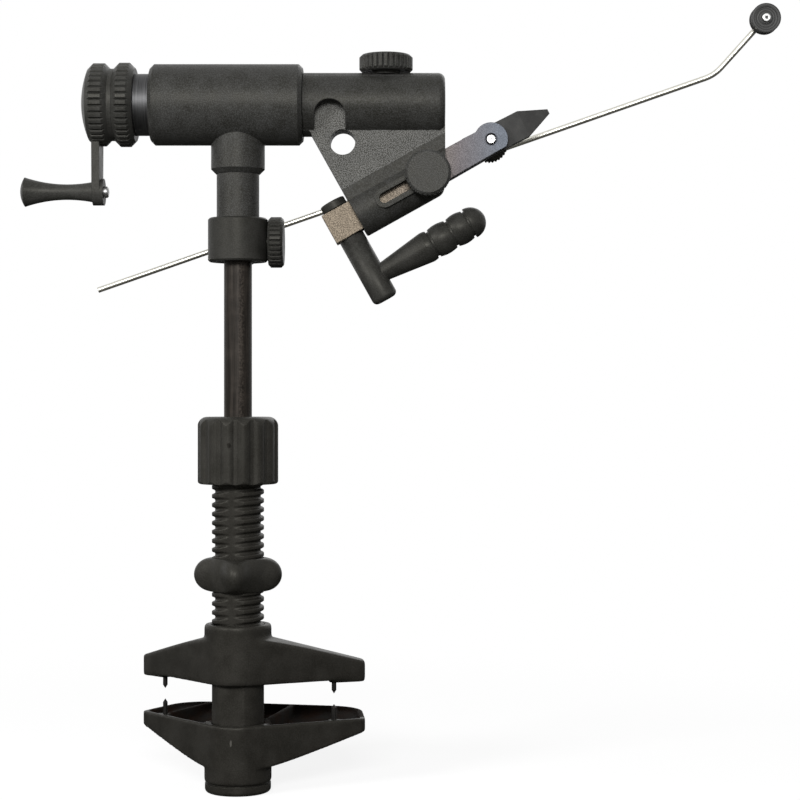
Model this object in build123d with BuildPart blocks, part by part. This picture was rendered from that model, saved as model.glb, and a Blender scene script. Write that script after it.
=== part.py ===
from build123d import *
import os
from math import cos, radians, sin, sqrt

# A fly tying vise: a table clamp, a stem, a rotary head with cam jaws and a thread rest.
# Millimetres, +Z up. The origin is under the foot, on the axis of the stem, the rotary
# axis lies along X, and the tyer sits on the -Y side.

# Fits and clearances
press_gap = 0.02
run_fit = 0.06
face_gap = 0.15
part_gap = 0.3
overrun = 3.0

# Stem and head heights
axis_height = 245.6
stem_radius = 5.0
stem_length = 174.0
stem_head_gap = 11.6
sleeve_radius = 7.6
sleeve_length = 15.8

# Table clamp
clamp_yaw = -12.3
tube_radius = 9.3
tube_flat_width = 8.6
tube_length = 114.7
foot_radius = 11.8
foot_height = 3.3
foot_edge = 1.5
foot_step_height = 0.5
foot_step_radius = 10.7
foot_plug_length = 8.0
hub_radius = 12.0
hub_edge = 0.7
jaw_wall = 2.0
jaw_floor = 2.2
jaw_tip_radius = 3.0
jaw_tip_reach = 39.2
jaw_tip_set_back = 19.0
jaw_heel_radius = 14.0
jaw_heel_reach = 24.0
jaw_heel_set_back = 31.5
jaw_rib_reach = 8.0
jaw_rib_width = 1.8
lower_jaw_height = 20.9
lower_slope_at_hub = 15.4
lower_slope_at_tip = 5.7
table_gap = 14.3
upper_jaw_height = 21.1
upper_hub_recess = 0.7
upper_slope_at_hub = 16.0
upper_slope_at_tip = 7.2
tip_pad_height = 1.0
spike_radius = 0.85
spike_reach = 32.0
spike_set_back = 13.6
spike_point = 1.3
spike_seat = 3.0
spike_boss_radius = 2.3
upper_spike_length = 5.0
lower_spike_length = 5.5
nut_lift = 10.9
nut_height = 12.5
nut_outer_radius = 16.0
nut_body_radius = 12.6
nut_crown_radius = 9.6
nut_lobe_radius = 5.2
nut_lobe_fillet = 3.0
nut_lobe_count = 4
collet_nut_height = 24.0
collet_nut_overlap_height = 8.0
collet_nut_radius = 14.4
collet_nut_top_edge = 3.4
collet_nut_foot_edge = 1.2
flute_count = 14
flute_radius = 2.9
flute_depth = 1.0
collet_nut_lid_height = 2.6
collet_radius = 8.0
collet_top_radius = 6.6
collet_slit_width = 1.6

# Thread rest
collar_radius = 10.7
collar_height = 15.6
collar_edge = 0.6
collar_screw_height = 7.0
knob_radius = 9.05
knob_height = 5.4
knob_edge = 0.9
knob_teeth = 30
tooth_depth = 0.75
fine_tooth_depth = 0.4
screw_radius = 2.5
wire_radius = 1.0
wire_set_back = 15.2
wire_slope = 19.25
wire_cross_lift = 9.0
wire_tail = 55.4
wire_run = 183.2
wire_rise_angle = 48.0
wire_rise = 26.4
wire_bend_radius = 14.0
wire_axle_bend = 2.0
eye_radius = 4.0
eye_length = 6.8
wheel_radius = 5.35
wheel_width = 5.0
wheel_groove = 1.3
wheel_hub_relief = 0.5
rivet_radius = 1.6
rivet_height = 0.7

# Head and rotor
barrel_radius = 14.45
barrel_back = 31.0
barrel_front = 23.3
barrel_chamfer = 1.4
socket_radius = 9.6
socket_drop = 24.8
socket_chamfer = 1.7
bush_radius = 11.0
bush_reach = 5.5
bush_seat = 13.0
front_bush_radius = 10.0
front_bush_length = 14.0
shaft_radius = 6.0
shaft_nose_radius = 4.0
shaft_nose_length = 42.5
shaft_clear_radius = 7.5
drag_ring_radius = 14.95
drag_ring_width = 7.3
ring_bevel = 1.9
ring_teeth = 40
ring_tooth_depth = 0.95
crank_neck_radius = 12.85
crank_neck_width = 1.6
crank_disc_radius = 14.75
crank_disc_width = 7.7
crank_dome = 2.6
crank_bore_depth = 6.0
crank_arm_length = 31.2
crank_arm_width = 12.0
crank_arm_end_width = 9.6
crank_arm_thickness = 2.8
crank_arm_inset = 3.5
crank_boss_height = 1.1
handle_length = 25.9
handle_end_radius = 5.25
handle_waist_radius = 2.8
handle_root_radius = 3.65
handle_dome = 1.6
handle_waist_share = 0.42
handle_screw_radius = 1.3
handle_screw_reach = 12.0
handle_screw_head_radius = 2.1
handle_screw_head_height = 1.6

# Jaw holder
holder_radius = 11.35
holder_length = 50.6
holder_edge = 2.4
web_half_thickness = 5.8
web_top_drop = 7.5
web_corner_radius = 5.0
notch_width = 11.1
notch_start = 4.1
notch_top = 0.7
tool_hole_radius = 4.5
tool_hole_x = 37.6
tool_hole_drop = 14.0
head_screw_x = 53.0
head_screw_radius = 9.55
head_screw_height = 6.0
head_screw_neck_radius = 5.25
head_screw_neck_height = 1.0
spot_radius = 6.6
spot_depth = 0.8

# Jaw bars, cam and jaws, along the bar from the jaw screw
bar_angle = 29.2
jaw_screw_x = 90.4
jaw_screw_drop = 12.85
bar_tail_width = 11.2
bar_head_width = 9.7
bar_thickness = 2.5
bar_gap = 5.0
bar_head_radius = 6.0
bar_tail = 66.0
rail_radius = 8.4
rail_tail = 55.0
rail_edge = 0.9
lip_width = 1.5
lip_height = 0.45
slot_width = 3.6
slot_tail = 45.2
slot_front = 23.8
slot_rim_width = 7.1
slot_rim_height = 0.35
jaw_knob_behind = 25.8
jaw_knob_radius = 8.1
jaw_knob_height = 4.4
jaw_knob_screw_radius = 1.7
jaw_screw_radius = 1.5
jaw_screw_head_radius = 1.8
jaw_screw_head_seat = 2.15
jaw_screw_head_sink = 1.2
jaw_screw_head_rise = 0.35
adjust_knob_radius = 7.5
adjust_knob_height = 4.6
adjust_neck_radius = 4.0
adjust_neck_height = 1.8
jaw_heel = 9.0
jaw_half_width = 4.95
jaw_droop = 2.3
jaw_shoulder = 13.0
jaw_nose = 23.2
jaw_nose_half_width = 0.85
jaw_nose_thickness = 0.7
jaw_grip_start = 8.0
jaw_relief = 0.4
jaw_meet_gap = 0.1
pivot_play = 0.2
cam_behind = 60.3
cam_shaft_radius = 4.7
cam_half_high = 2.2
cam_half_low = 1.35
cam_cap_height = 2.8
cam_cap_edge = 0.6
cam_pin_radius = 1.3
cam_pin_length = 1.9
cam_bar_gap = 0.25
cam_shaft_end = 31.5
cam_shaft_edge = 1.8
lever_drop = 22.4
lever_dip = 2.6
lever_length = 45.0
lever_root_radius = 3.1
lever_grip_radius = 5.2
lever_groove_radius = 4.25
lever_groove_shares = (0.535, 0.705, 0.867)
lever_groove_half_width = 1.0
lever_shoulder = 2.2
lever_shoulder_share = 0.75

# Levels and places that follow from the sizes
lower_hub_bottom = foot_height + foot_step_height
lower_rim = lower_hub_bottom + lower_jaw_height
upper_rim = lower_rim + table_gap
nut_bottom = upper_rim + upper_jaw_height + nut_lift
tube_top = foot_height + tube_length
collet_nut_bottom = tube_top - collet_nut_overlap_height
tube_bore = stem_radius + run_fit
tube_half_flat = sqrt(tube_radius**2 - (tube_flat_width / 2) ** 2)
socket_bottom = axis_height - socket_drop
sleeve_bottom = socket_bottom - sleeve_length
collar_bottom = sleeve_bottom - collar_height
wire_cross_height = collar_bottom + wire_cross_lift
stem_top = axis_height - stem_head_gap
bush_face = -barrel_back - bush_reach
drag_right = bush_face - run_fit
drag_left = drag_right - drag_ring_width
crank_right = drag_left - crank_neck_width
crank_left = crank_right - crank_disc_width
shaft_end = crank_right - crank_bore_depth
holder_left = barrel_front + face_gap
holder_right = holder_left + holder_length
shaft_nose = barrel_front + shaft_nose_length
bar_outer = bar_gap / 2 + bar_thickness
rail_front = rail_radius + slot_rim_height
slot_length = slot_tail - slot_front
slot_middle = (slot_tail + slot_front) / 2
notch_middle = holder_left + notch_start + notch_width / 2
notch_level = axis_height + notch_top - notch_width / 2
notch_depth = holder_radius + part_gap
spot_level = holder_radius - spot_depth

clamp_plane = Plane.XY.rotated((0, 0, clamp_yaw))
upper_rim_plane = clamp_plane.offset(upper_rim)
lower_rim_plane = Plane(
    origin=(0, 0, lower_rim), x_dir=-clamp_plane.x_dir, z_dir=(0, 0, -1)
)
rotor_plane = Plane(origin=(0, 0, axis_height), x_dir=(0, 1, 0), z_dir=(1, 0, 0))
head_screw_plane = Plane.XY.offset(axis_height + spot_level).move(
    Location((head_screw_x, 0, 0))
)
bar_plane = Plane(
    origin=(jaw_screw_x, 0, axis_height - jaw_screw_drop),
    x_dir=(cos(radians(bar_angle)), 0, sin(radians(bar_angle))),
    z_dir=(0, -1, 0),
)

os.makedirs("parts", exist_ok=True)


def section_of(plane):
    """The plane of a revolved profile: x is the radius, y runs along the plane's normal."""
    return Plane(origin=plane.origin, x_dir=plane.x_dir, z_dir=-plane.y_dir)


def toothed_disc(plane, radius, height, edge, teeth, depth):
    """A disc with vee teeth round its rim and bevelled edges, standing on the plane."""
    with BuildPart() as disc:
        with BuildSketch(plane):
            Circle(radius)
            with PolarLocations(radius, teeth):
                RegularPolygon(depth, 3, rotation=180, mode=Mode.SUBTRACT)
        extrude(amount=height)
        with BuildSketch(section_of(plane)):
            Rectangle(radius, height, align=(Align.MIN, Align.MIN))
            chamfer(vertices().group_by(Axis.X)[-1], edge)
        revolve(axis=Axis(plane.origin, plane.z_dir), mode=Mode.INTERSECT)
    return disc


def thumb_screw(plane, head, neck, shank, depth):
    """A knob with teeth above the plane, and its neck and shank below it."""
    head_radius, head_height, head_edge = head
    neck_radius, neck_height = neck
    shank_radius, shank_length = shank
    disc = toothed_disc(plane, head_radius, head_height, head_edge, knob_teeth, depth)
    with BuildPart() as screw:
        add(disc.part)
        if neck_height > 0:
            with BuildSketch(plane):
                Circle(neck_radius)
            extrude(amount=-neck_height)
        with BuildSketch(plane):
            Circle(shank_radius)
        extrude(amount=-neck_height - shank_length)
    return screw


def tube_key(plane, clearance):
    """The tube's outline, round with two flats, grown by a clearance."""
    with BuildSketch(plane) as key:
        Circle(tube_radius + clearance)
        Rectangle(
            2 * (tube_radius + clearance),
            2 * (tube_half_flat + clearance),
            mode=Mode.INTERSECT,
        )
    return key.sketch


def fan_outline(plane, inset):
    """The jaw's shield-shaped plan, drawn in by an inset."""
    with BuildSketch(plane) as fan:
        Circle(hub_radius - inset)
        with Locations(
            (jaw_tip_reach, jaw_tip_set_back), (-jaw_tip_reach, jaw_tip_set_back)
        ):
            Circle(jaw_tip_radius - inset)
        with Locations(
            (jaw_heel_reach, jaw_heel_set_back), (-jaw_heel_reach, jaw_heel_set_back)
        ):
            Circle(jaw_heel_radius - inset)
        make_hull()
    return fan.sketch


def slope_section(plane, at_hub, at_tip):
    """What lies beyond the jaw's sloping back, as a half section to revolve."""
    reach = jaw_tip_reach + jaw_heel_reach
    fall = (at_hub - at_tip) / (sqrt(jaw_tip_reach**2 + jaw_tip_set_back**2) - hub_radius)
    with BuildSketch(section_of(plane)) as beyond:
        with BuildLine():
            Polyline(
                (0, at_hub + fall * hub_radius),
                (reach, at_hub - fall * (reach - hub_radius)),
                (reach, at_hub + reach),
                (0, at_hub + reach),
                close=True,
            )
        make_face()
    return beyond.sketch


def jaw_core(plane, at_hub, at_tip):
    """The hollow inside a jaw, between its walls, ribs, hub and spike bosses."""
    axis = Axis(plane.origin, plane.z_dir)
    with BuildPart() as core:
        extrude(fan_outline(plane, jaw_wall), amount=at_hub)
        revolve(
            slope_section(plane, at_hub - jaw_floor, at_tip - jaw_floor),
            axis=axis,
            mode=Mode.SUBTRACT,
        )
        with BuildSketch(plane):
            Circle(hub_radius)
            with Locations(
                (spike_reach, spike_set_back), (-spike_reach, spike_set_back)
            ):
                Circle(spike_boss_radius)
            with Locations((jaw_rib_reach, 0), (-jaw_rib_reach, 0)):
                Rectangle(
                    jaw_rib_width,
                    jaw_heel_set_back + jaw_heel_radius,
                    align=(Align.CENTER, Align.MIN),
                )
            for side in (1, -1):
                with BuildLine():
                    Line(
                        (side * spike_reach, spike_set_back),
                        (side * jaw_heel_reach, jaw_heel_set_back + jaw_heel_radius),
                    )
                trace(line_width=jaw_rib_width)
        extrude(amount=at_hub, mode=Mode.SUBTRACT)
    return core


def clamp_jaw(plane, hub_start, hub_end, at_hub, at_tip, pad_height, bore_gap):
    """A moulded clamp jaw, built from its rim away from the table gap."""
    core = jaw_core(plane, at_hub, at_tip)
    axis = Axis(plane.origin, plane.z_dir)
    with BuildPart() as jaw:
        extrude(fan_outline(plane, 0), amount=at_hub)
        revolve(slope_section(plane, at_hub, at_tip), axis=axis, mode=Mode.SUBTRACT)
        add(core.part, mode=Mode.SUBTRACT)
        with BuildSketch(plane.offset(hub_start)):
            Circle(hub_radius)
        extrude(amount=hub_end - hub_start)
        fillet(faces().sort_by(axis)[-1].outer_wire().edges(), hub_edge)
        if pad_height > 0:
            for side in (1, -1):
                with BuildSketch(plane):
                    with Locations((side * jaw_tip_reach, jaw_tip_set_back)):
                        Circle(jaw_tip_radius)
                    with Locations((side * spike_reach, spike_set_back)):
                        Circle(jaw_wall)
                    make_hull()
                extrude(amount=-pad_height)
        extrude(
            tube_key(plane.offset(-overrun), bore_gap),
            amount=hub_end + 2 * overrun,
            mode=Mode.SUBTRACT,
        )
        with BuildSketch(plane.offset(-pad_height)):
            with Locations(
                (spike_reach, spike_set_back), (-spike_reach, spike_set_back)
            ):
                Circle(spike_radius + press_gap)
        extrude(amount=spike_seat + pad_height, mode=Mode.SUBTRACT)
    return jaw


def spike_pair(plane, length):
    """Two steel spikes that stand out of a jaw into the table gap."""
    with BuildPart() as pair:
        with BuildSketch(plane.offset(spike_seat)):
            with Locations(
                (spike_reach, spike_set_back), (-spike_reach, spike_set_back)
            ):
                Circle(spike_radius)
        extrude(amount=-spike_seat - length)
        points = pair.faces().group_by(Axis(plane.origin, plane.z_dir))[0]
        chamfer(points.edges(), spike_point, spike_radius - press_gap)
    return pair


# Foot and threaded tube of the clamp
with BuildPart() as foot_cap:
    with BuildSketch():
        Circle(foot_radius)
    extrude(amount=foot_height)
    fillet(foot_cap.edges().group_by(Axis.Z)[0], foot_edge)
    with BuildSketch(Plane.XY.offset(foot_height)):
        Circle(foot_step_radius)
        Circle(tube_radius + press_gap, mode=Mode.SUBTRACT)
    extrude(amount=foot_step_height)
    with BuildSketch(Plane.XY.offset(foot_height)):
        Circle(tube_bore - press_gap)
    extrude(amount=foot_plug_length)
foot_cap.part.label = "foot_cap"
export_step(foot_cap.part, "parts/foot_cap.step")

with BuildPart() as clamp_tube:
    extrude(tube_key(clamp_plane.offset(foot_height), 0), amount=tube_length)
    with BuildSketch(clamp_plane.offset(foot_height)):
        Circle(tube_bore)
    extrude(amount=tube_length, mode=Mode.SUBTRACT)
clamp_tube.part.label = "clamp_tube"
export_step(clamp_tube.part, "parts/clamp_tube.step")

# The two jaws, hollow towards the table
lower_jaw = clamp_jaw(
    lower_rim_plane,
    0,
    lower_jaw_height,
    lower_slope_at_hub,
    lower_slope_at_tip,
    0,
    press_gap,
)
lower_jaw.part.label = "lower_jaw"
export_step(lower_jaw.part, "parts/lower_jaw.step")

upper_jaw = clamp_jaw(
    upper_rim_plane,
    upper_hub_recess,
    upper_jaw_height,
    upper_slope_at_hub,
    upper_slope_at_tip,
    tip_pad_height,
    face_gap,
)
upper_jaw.part.label = "upper_jaw"
export_step(upper_jaw.part, "parts/upper_jaw.step")

lower_spikes = spike_pair(lower_rim_plane, lower_spike_length)
lower_spikes.part.label = "lower_spikes"
export_step(lower_spikes.part, "parts/lower_spikes.step")

upper_spikes = spike_pair(upper_rim_plane, upper_spike_length)
upper_spikes.part.label = "upper_spikes"
export_step(upper_spikes.part, "parts/upper_spikes.step")

# Hand nut with four rounded lobes
nut_plane = clamp_plane.offset(nut_bottom)


def nut_section(outer_radius):
    """The half section of a ring whose outside is one round bulge."""
    with BuildSketch(section_of(nut_plane)) as section:
        with BuildLine():
            Line((0, nut_height), (0, 0))
            Line((0, 0), (nut_crown_radius, 0))
            ThreePointArc(
                (nut_crown_radius, 0),
                (outer_radius, nut_height / 2),
                (nut_crown_radius, nut_height),
            )
            Line((nut_crown_radius, nut_height), (0, nut_height))
        make_face()
    return section.sketch


with BuildPart() as clamp_nut:
    with BuildSketch(nut_plane):
        Circle(nut_crown_radius)
        with PolarLocations(nut_outer_radius - nut_lobe_radius, nut_lobe_count):
            Circle(nut_lobe_radius)
        fillet(vertices(), nut_lobe_fillet)
    extrude(amount=nut_height)
    revolve(nut_section(nut_outer_radius), axis=Axis.Z, mode=Mode.INTERSECT)
    revolve(nut_section(nut_body_radius), axis=Axis.Z)
    with BuildSketch(nut_plane):
        Circle(tube_radius + run_fit)
    extrude(amount=nut_height, mode=Mode.SUBTRACT)
clamp_nut.part.label = "clamp_nut"
export_step(clamp_nut.part, "parts/clamp_nut.step")

# Fluted collet nut, its split collet and the stem
collet_nut_plane = clamp_plane.offset(collet_nut_bottom)
collet_height = collet_nut_height - collet_nut_overlap_height - collet_nut_lid_height - face_gap
with BuildPart() as collet_nut:
    with BuildSketch(collet_nut_plane):
        Circle(collet_nut_radius - flute_depth)
        with PolarLocations(
            collet_nut_radius - flute_radius, flute_count, start_angle=180 / flute_count
        ):
            Circle(flute_radius)
    extrude(amount=collet_nut_height)
    with BuildSketch(section_of(collet_nut_plane)):
        Rectangle(collet_nut_radius, collet_nut_height, align=(Align.MIN, Align.MIN))
        fillet(vertices().group_by(Axis.X)[-1].sort_by(Axis.Y)[-1], collet_nut_top_edge)
        fillet(vertices().sort_by(Axis.Y)[0:2].sort_by(Axis.X)[-1], collet_nut_foot_edge)
    revolve(axis=Axis.Z, mode=Mode.INTERSECT)
    with BuildSketch(collet_nut_plane):
        Circle(tube_radius + run_fit)
    extrude(amount=collet_nut_height - collet_nut_lid_height, mode=Mode.SUBTRACT)
    with BuildSketch(collet_nut_plane):
        Circle(stem_radius + part_gap)
    extrude(amount=collet_nut_height, mode=Mode.SUBTRACT)
collet_nut.part.label = "collet_nut"
export_step(collet_nut.part, "parts/collet_nut.step")

collet_plane = clamp_plane.offset(tube_top)
with BuildPart() as collet:
    with BuildSketch(section_of(collet_plane)):
        with BuildLine():
            Polyline(
                (stem_radius + run_fit, 0),
                (collet_radius, 0),
                (collet_radius, collet_height / 2),
                (collet_top_radius, collet_height),
                (stem_radius + run_fit, collet_height),
                close=True,
            )
        make_face()
    revolve(axis=Axis.Z)
    with BuildSketch(collet_plane):
        Rectangle(collet_radius, collet_slit_width, align=(Align.MIN, Align.CENTER))
    extrude(amount=collet_height, mode=Mode.SUBTRACT)
collet.part.label = "collet"
export_step(collet.part, "parts/collet.step")

with BuildPart() as stem_rod:
    with BuildSketch(Plane.XY.offset(stem_top)):
        Circle(stem_radius)
    extrude(amount=-stem_length)
    chamfer(stem_rod.edges().group_by(Axis.Z)[0], part_gap)
stem_rod.part.label = "stem_rod"
export_step(stem_rod.part, "parts/stem_rod.step")

with BuildPart() as stem_sleeve:
    with BuildSketch(Plane.XY.offset(sleeve_bottom)):
        Circle(sleeve_radius)
        Circle(stem_radius + press_gap, mode=Mode.SUBTRACT)
    extrude(amount=sleeve_length)
stem_sleeve.part.label = "stem_sleeve"
export_step(stem_sleeve.part, "parts/stem_sleeve.step")

# Collar of the thread rest, with holes for its screw and the wire clamp
collar_screw_plane = Plane(
    origin=(0, 0, collar_bottom + collar_screw_height), x_dir=(0, 1, 0), z_dir=(1, 0, 0)
)
wire_bolt_plane = Plane(
    origin=(0, 0, wire_cross_height), x_dir=(-1, 0, 0), z_dir=(0, 1, 0)
)
with BuildPart() as rest_collar:
    with BuildSketch(Plane.XY.offset(collar_bottom)):
        Circle(collar_radius)
    extrude(amount=collar_height)
    chamfer(rest_collar.edges().filter_by(GeomType.CIRCLE), collar_edge)
    with BuildSketch(Plane.XY.offset(collar_bottom)):
        Circle(stem_radius + run_fit)
    extrude(amount=collar_height, mode=Mode.SUBTRACT)
    with BuildSketch(collar_screw_plane, wire_bolt_plane):
        Circle(screw_radius + run_fit)
    extrude(amount=collar_radius, mode=Mode.SUBTRACT)
rest_collar.part.label = "rest_collar"
export_step(rest_collar.part, "parts/rest_collar.step")

collar_screw = thumb_screw(
    collar_screw_plane.offset(collar_radius + part_gap),
    (knob_radius, knob_height, knob_edge),
    (eye_radius, part_gap - run_fit),
    (screw_radius, collar_radius - stem_radius),
    tooth_depth,
)
collar_screw.part.label = "collar_screw"
export_step(collar_screw.part, "parts/collar_screw.step")

# Wire clamp: an eye bolt behind the collar, its knob and the bent wire
eye_front = collar_radius + part_gap
eye_back = eye_front + eye_length
stud_length = knob_height - knob_edge
wire_cross = Vector(0, wire_set_back, wire_cross_height)
wire_along = Vector(cos(radians(wire_slope)), 0, sin(radians(wire_slope)))
wire_up = Vector(cos(radians(wire_rise_angle)), 0, sin(radians(wire_rise_angle)))
wire_start = wire_cross - wire_along * wire_tail
wire_corner = wire_cross + wire_along * wire_run
wheel_back = wire_set_back - wire_axle_bend - face_gap
wheel_front = wheel_back - wheel_width
axle_end = wheel_front - face_gap
wheel_centre = wire_corner + wire_up * wire_rise
wheel_plane = Plane(
    origin=(wheel_centre.X, wheel_back, wheel_centre.Z), x_dir=(1, 0, 0), z_dir=(0, -1, 0)
)

with BuildPart() as wire_clamp_bolt:
    with BuildSketch(wire_bolt_plane.offset(stem_radius + part_gap)):
        Circle(screw_radius)
    extrude(amount=eye_back + stud_length - stem_radius - part_gap)
    with BuildSketch(wire_bolt_plane.offset(eye_front)):
        Circle(eye_radius)
    extrude(amount=eye_length)
    with BuildSketch(Plane(origin=wire_cross, x_dir=(0, 1, 0), z_dir=wire_along)):
        Circle(wire_radius + run_fit)
    extrude(amount=eye_radius, both=True, mode=Mode.SUBTRACT)
wire_clamp_bolt.part.label = "wire_clamp_bolt"
export_step(wire_clamp_bolt.part, "parts/wire_clamp_bolt.step")

wire_knob_plane = wire_bolt_plane.offset(eye_back + face_gap)
wire_knob_disc = toothed_disc(
    wire_knob_plane, knob_radius, knob_height, knob_edge, knob_teeth, tooth_depth
)
with BuildPart() as wire_clamp_knob:
    add(wire_knob_disc.part)
    with BuildSketch(wire_knob_plane):
        Circle(screw_radius + run_fit)
    extrude(amount=stud_length, mode=Mode.SUBTRACT)
wire_clamp_knob.part.label = "wire_clamp_knob"
export_step(wire_clamp_knob.part, "parts/wire_clamp_knob.step")

with BuildPart() as rest_wire:
    with BuildLine() as wire_path:
        FilletPolyline(
            wire_start,
            wire_corner,
            wheel_centre,
            Vector(wheel_centre.X, axle_end, wheel_centre.Z),
            radius=(wire_bend_radius, wire_axle_bend),
        )
    with BuildSketch(Plane(origin=wire_start, x_dir=(0, 1, 0), z_dir=wire_along)):
        Circle(wire_radius)
    sweep(path=wire_path.line)
rest_wire.part.label = "rest_wire"
export_step(rest_wire.part, "parts/rest_wire.step")

with BuildPart() as rest_wheel:
    with BuildSketch(section_of(wheel_plane)):
        with BuildLine():
            Polyline(
                (wire_radius + run_fit, 0),
                (wheel_radius, 0),
                (wheel_radius, wheel_groove / 2),
                (wheel_radius - wheel_groove, wheel_width / 2),
                (wheel_radius, wheel_width - wheel_groove / 2),
                (wheel_radius, wheel_width),
                (wheel_radius - wheel_groove, wheel_width),
                (wheel_radius - wheel_groove, wheel_width - wheel_hub_relief),
                (rivet_radius + wheel_hub_relief, wheel_width - wheel_hub_relief),
                (rivet_radius + wheel_hub_relief, wheel_width),
                (wire_radius + run_fit, wheel_width),
                close=True,
            )
        make_face()
    revolve(axis=Axis(wheel_plane.origin, wheel_plane.z_dir))
rest_wheel.part.label = "rest_wheel"
export_step(rest_wheel.part, "parts/rest_wheel.step")

with BuildPart() as wheel_rivet:
    with BuildSketch(wheel_plane.offset(wheel_back - axle_end)):
        Circle(rivet_radius)
    extrude(amount=rivet_height)
    fillet(wheel_rivet.edges().group_by(Axis.Y)[0], rivet_height / 2)
wheel_rivet.part.label = "wheel_rivet"
export_step(wheel_rivet.part, "parts/wheel_rivet.step")

# Head: the barrel on its socket, and its two bushes
with BuildPart() as head_body:
    with BuildSketch(rotor_plane.offset(-barrel_back)):
        Circle(barrel_radius)
    extrude(amount=barrel_back + barrel_front)
    chamfer(head_body.edges().filter_by(GeomType.CIRCLE), barrel_chamfer)
    with BuildSketch(section_of(Plane.XY.offset(socket_bottom))):
        Rectangle(socket_radius, socket_drop, align=(Align.MIN, Align.MIN))
        chamfer(vertices().group_by(Axis.Y)[0].sort_by(Axis.X)[-1], socket_chamfer)
    revolve(axis=Axis.Z)
    with BuildSketch(Plane.XY.offset(socket_bottom)):
        Circle(stem_radius + press_gap)
    extrude(amount=stem_top - socket_bottom, mode=Mode.SUBTRACT)
    with BuildSketch(rotor_plane.offset(-barrel_back)):
        Circle(shaft_clear_radius)
    extrude(amount=barrel_back + barrel_front, mode=Mode.SUBTRACT)
    with BuildSketch(rotor_plane.offset(-barrel_back)):
        Circle(bush_radius + press_gap)
    extrude(amount=bush_seat, mode=Mode.SUBTRACT)
    with BuildSketch(rotor_plane.offset(barrel_front)):
        Circle(front_bush_radius + press_gap)
    extrude(amount=-front_bush_length, mode=Mode.SUBTRACT)
head_body.part.label = "head_body"
export_step(head_body.part, "parts/head_body.step")

with BuildPart() as rear_bush:
    with BuildSketch(rotor_plane.offset(bush_face)):
        Circle(bush_radius)
        Circle(shaft_radius + run_fit, mode=Mode.SUBTRACT)
    extrude(amount=bush_reach + bush_seat)
rear_bush.part.label = "rear_bush"
export_step(rear_bush.part, "parts/rear_bush.step")

with BuildPart() as front_bush:
    with BuildSketch(rotor_plane.offset(barrel_front)):
        Circle(front_bush_radius)
        Circle(shaft_radius + run_fit, mode=Mode.SUBTRACT)
    extrude(amount=-front_bush_length)
front_bush.part.label = "front_bush"
export_step(front_bush.part, "parts/front_bush.step")

# Rotor: shaft, drag ring, crank and its handle
with BuildPart() as main_shaft:
    with BuildSketch(rotor_plane.offset(shaft_end)):
        Circle(shaft_radius)
    extrude(amount=barrel_front - shaft_end)
    with BuildSketch(rotor_plane.offset(barrel_front)):
        Circle(shaft_nose_radius)
    extrude(amount=shaft_nose_length)
main_shaft.part.label = "main_shaft"
export_step(main_shaft.part, "parts/main_shaft.step")

drag_disc = toothed_disc(
    rotor_plane.offset(drag_left),
    drag_ring_radius,
    drag_ring_width,
    ring_bevel,
    ring_teeth,
    ring_tooth_depth,
)
with BuildPart() as drag_ring:
    add(drag_disc.part)
    with BuildSketch(rotor_plane.offset(drag_left)):
        Circle(shaft_radius + run_fit)
    extrude(amount=drag_ring_width, mode=Mode.SUBTRACT)
drag_ring.part.label = "drag_ring"
export_step(drag_ring.part, "parts/drag_ring.step")

arm_right = crank_right - crank_arm_inset
arm_left = arm_right - crank_arm_thickness
boss_right = arm_right + crank_boss_height
dome_radius = crank_disc_radius - ring_bevel
crank_plane = rotor_plane.offset(crank_left)
crank_toothed = toothed_disc(
    crank_plane, crank_disc_radius, crank_disc_width, ring_bevel, ring_teeth, ring_tooth_depth
)
with BuildPart() as crank_disc:
    add(crank_toothed.part)
    with BuildSketch(rotor_plane.offset(crank_right)):
        Circle(crank_neck_radius)
    extrude(amount=crank_neck_width - run_fit)
    with BuildSketch(section_of(crank_plane)):
        with BuildLine():
            Line((0, -crank_dome), (0, 0))
            Line((0, 0), (dome_radius, 0))
            TangentArc((0, -crank_dome), (dome_radius, 0), tangent=(1, 0))
        make_face()
    revolve(axis=Axis(crank_plane.origin, crank_plane.z_dir))
    with BuildSketch(rotor_plane.offset(arm_left)):
        Circle(crank_arm_width / 2)
        with Locations((0, -crank_arm_length)):
            Circle(crank_arm_end_width / 2)
        make_hull()
    extrude(amount=crank_arm_thickness)
    with BuildSketch(rotor_plane.offset(arm_right)):
        with Locations((0, -crank_arm_length)):
            Circle(crank_arm_end_width / 2)
    extrude(amount=crank_boss_height)
    with BuildSketch(rotor_plane.offset(drag_left)):
        Circle(shaft_radius + press_gap)
    extrude(amount=shaft_end - drag_left, mode=Mode.SUBTRACT)
    with BuildSketch(rotor_plane.offset(arm_left)):
        with Locations((0, -crank_arm_length)):
            Circle(handle_screw_radius + press_gap)
    extrude(amount=crank_arm_thickness + crank_boss_height, mode=Mode.SUBTRACT)
crank_disc.part.label = "crank_disc"
export_step(crank_disc.part, "parts/crank_disc.step")

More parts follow.
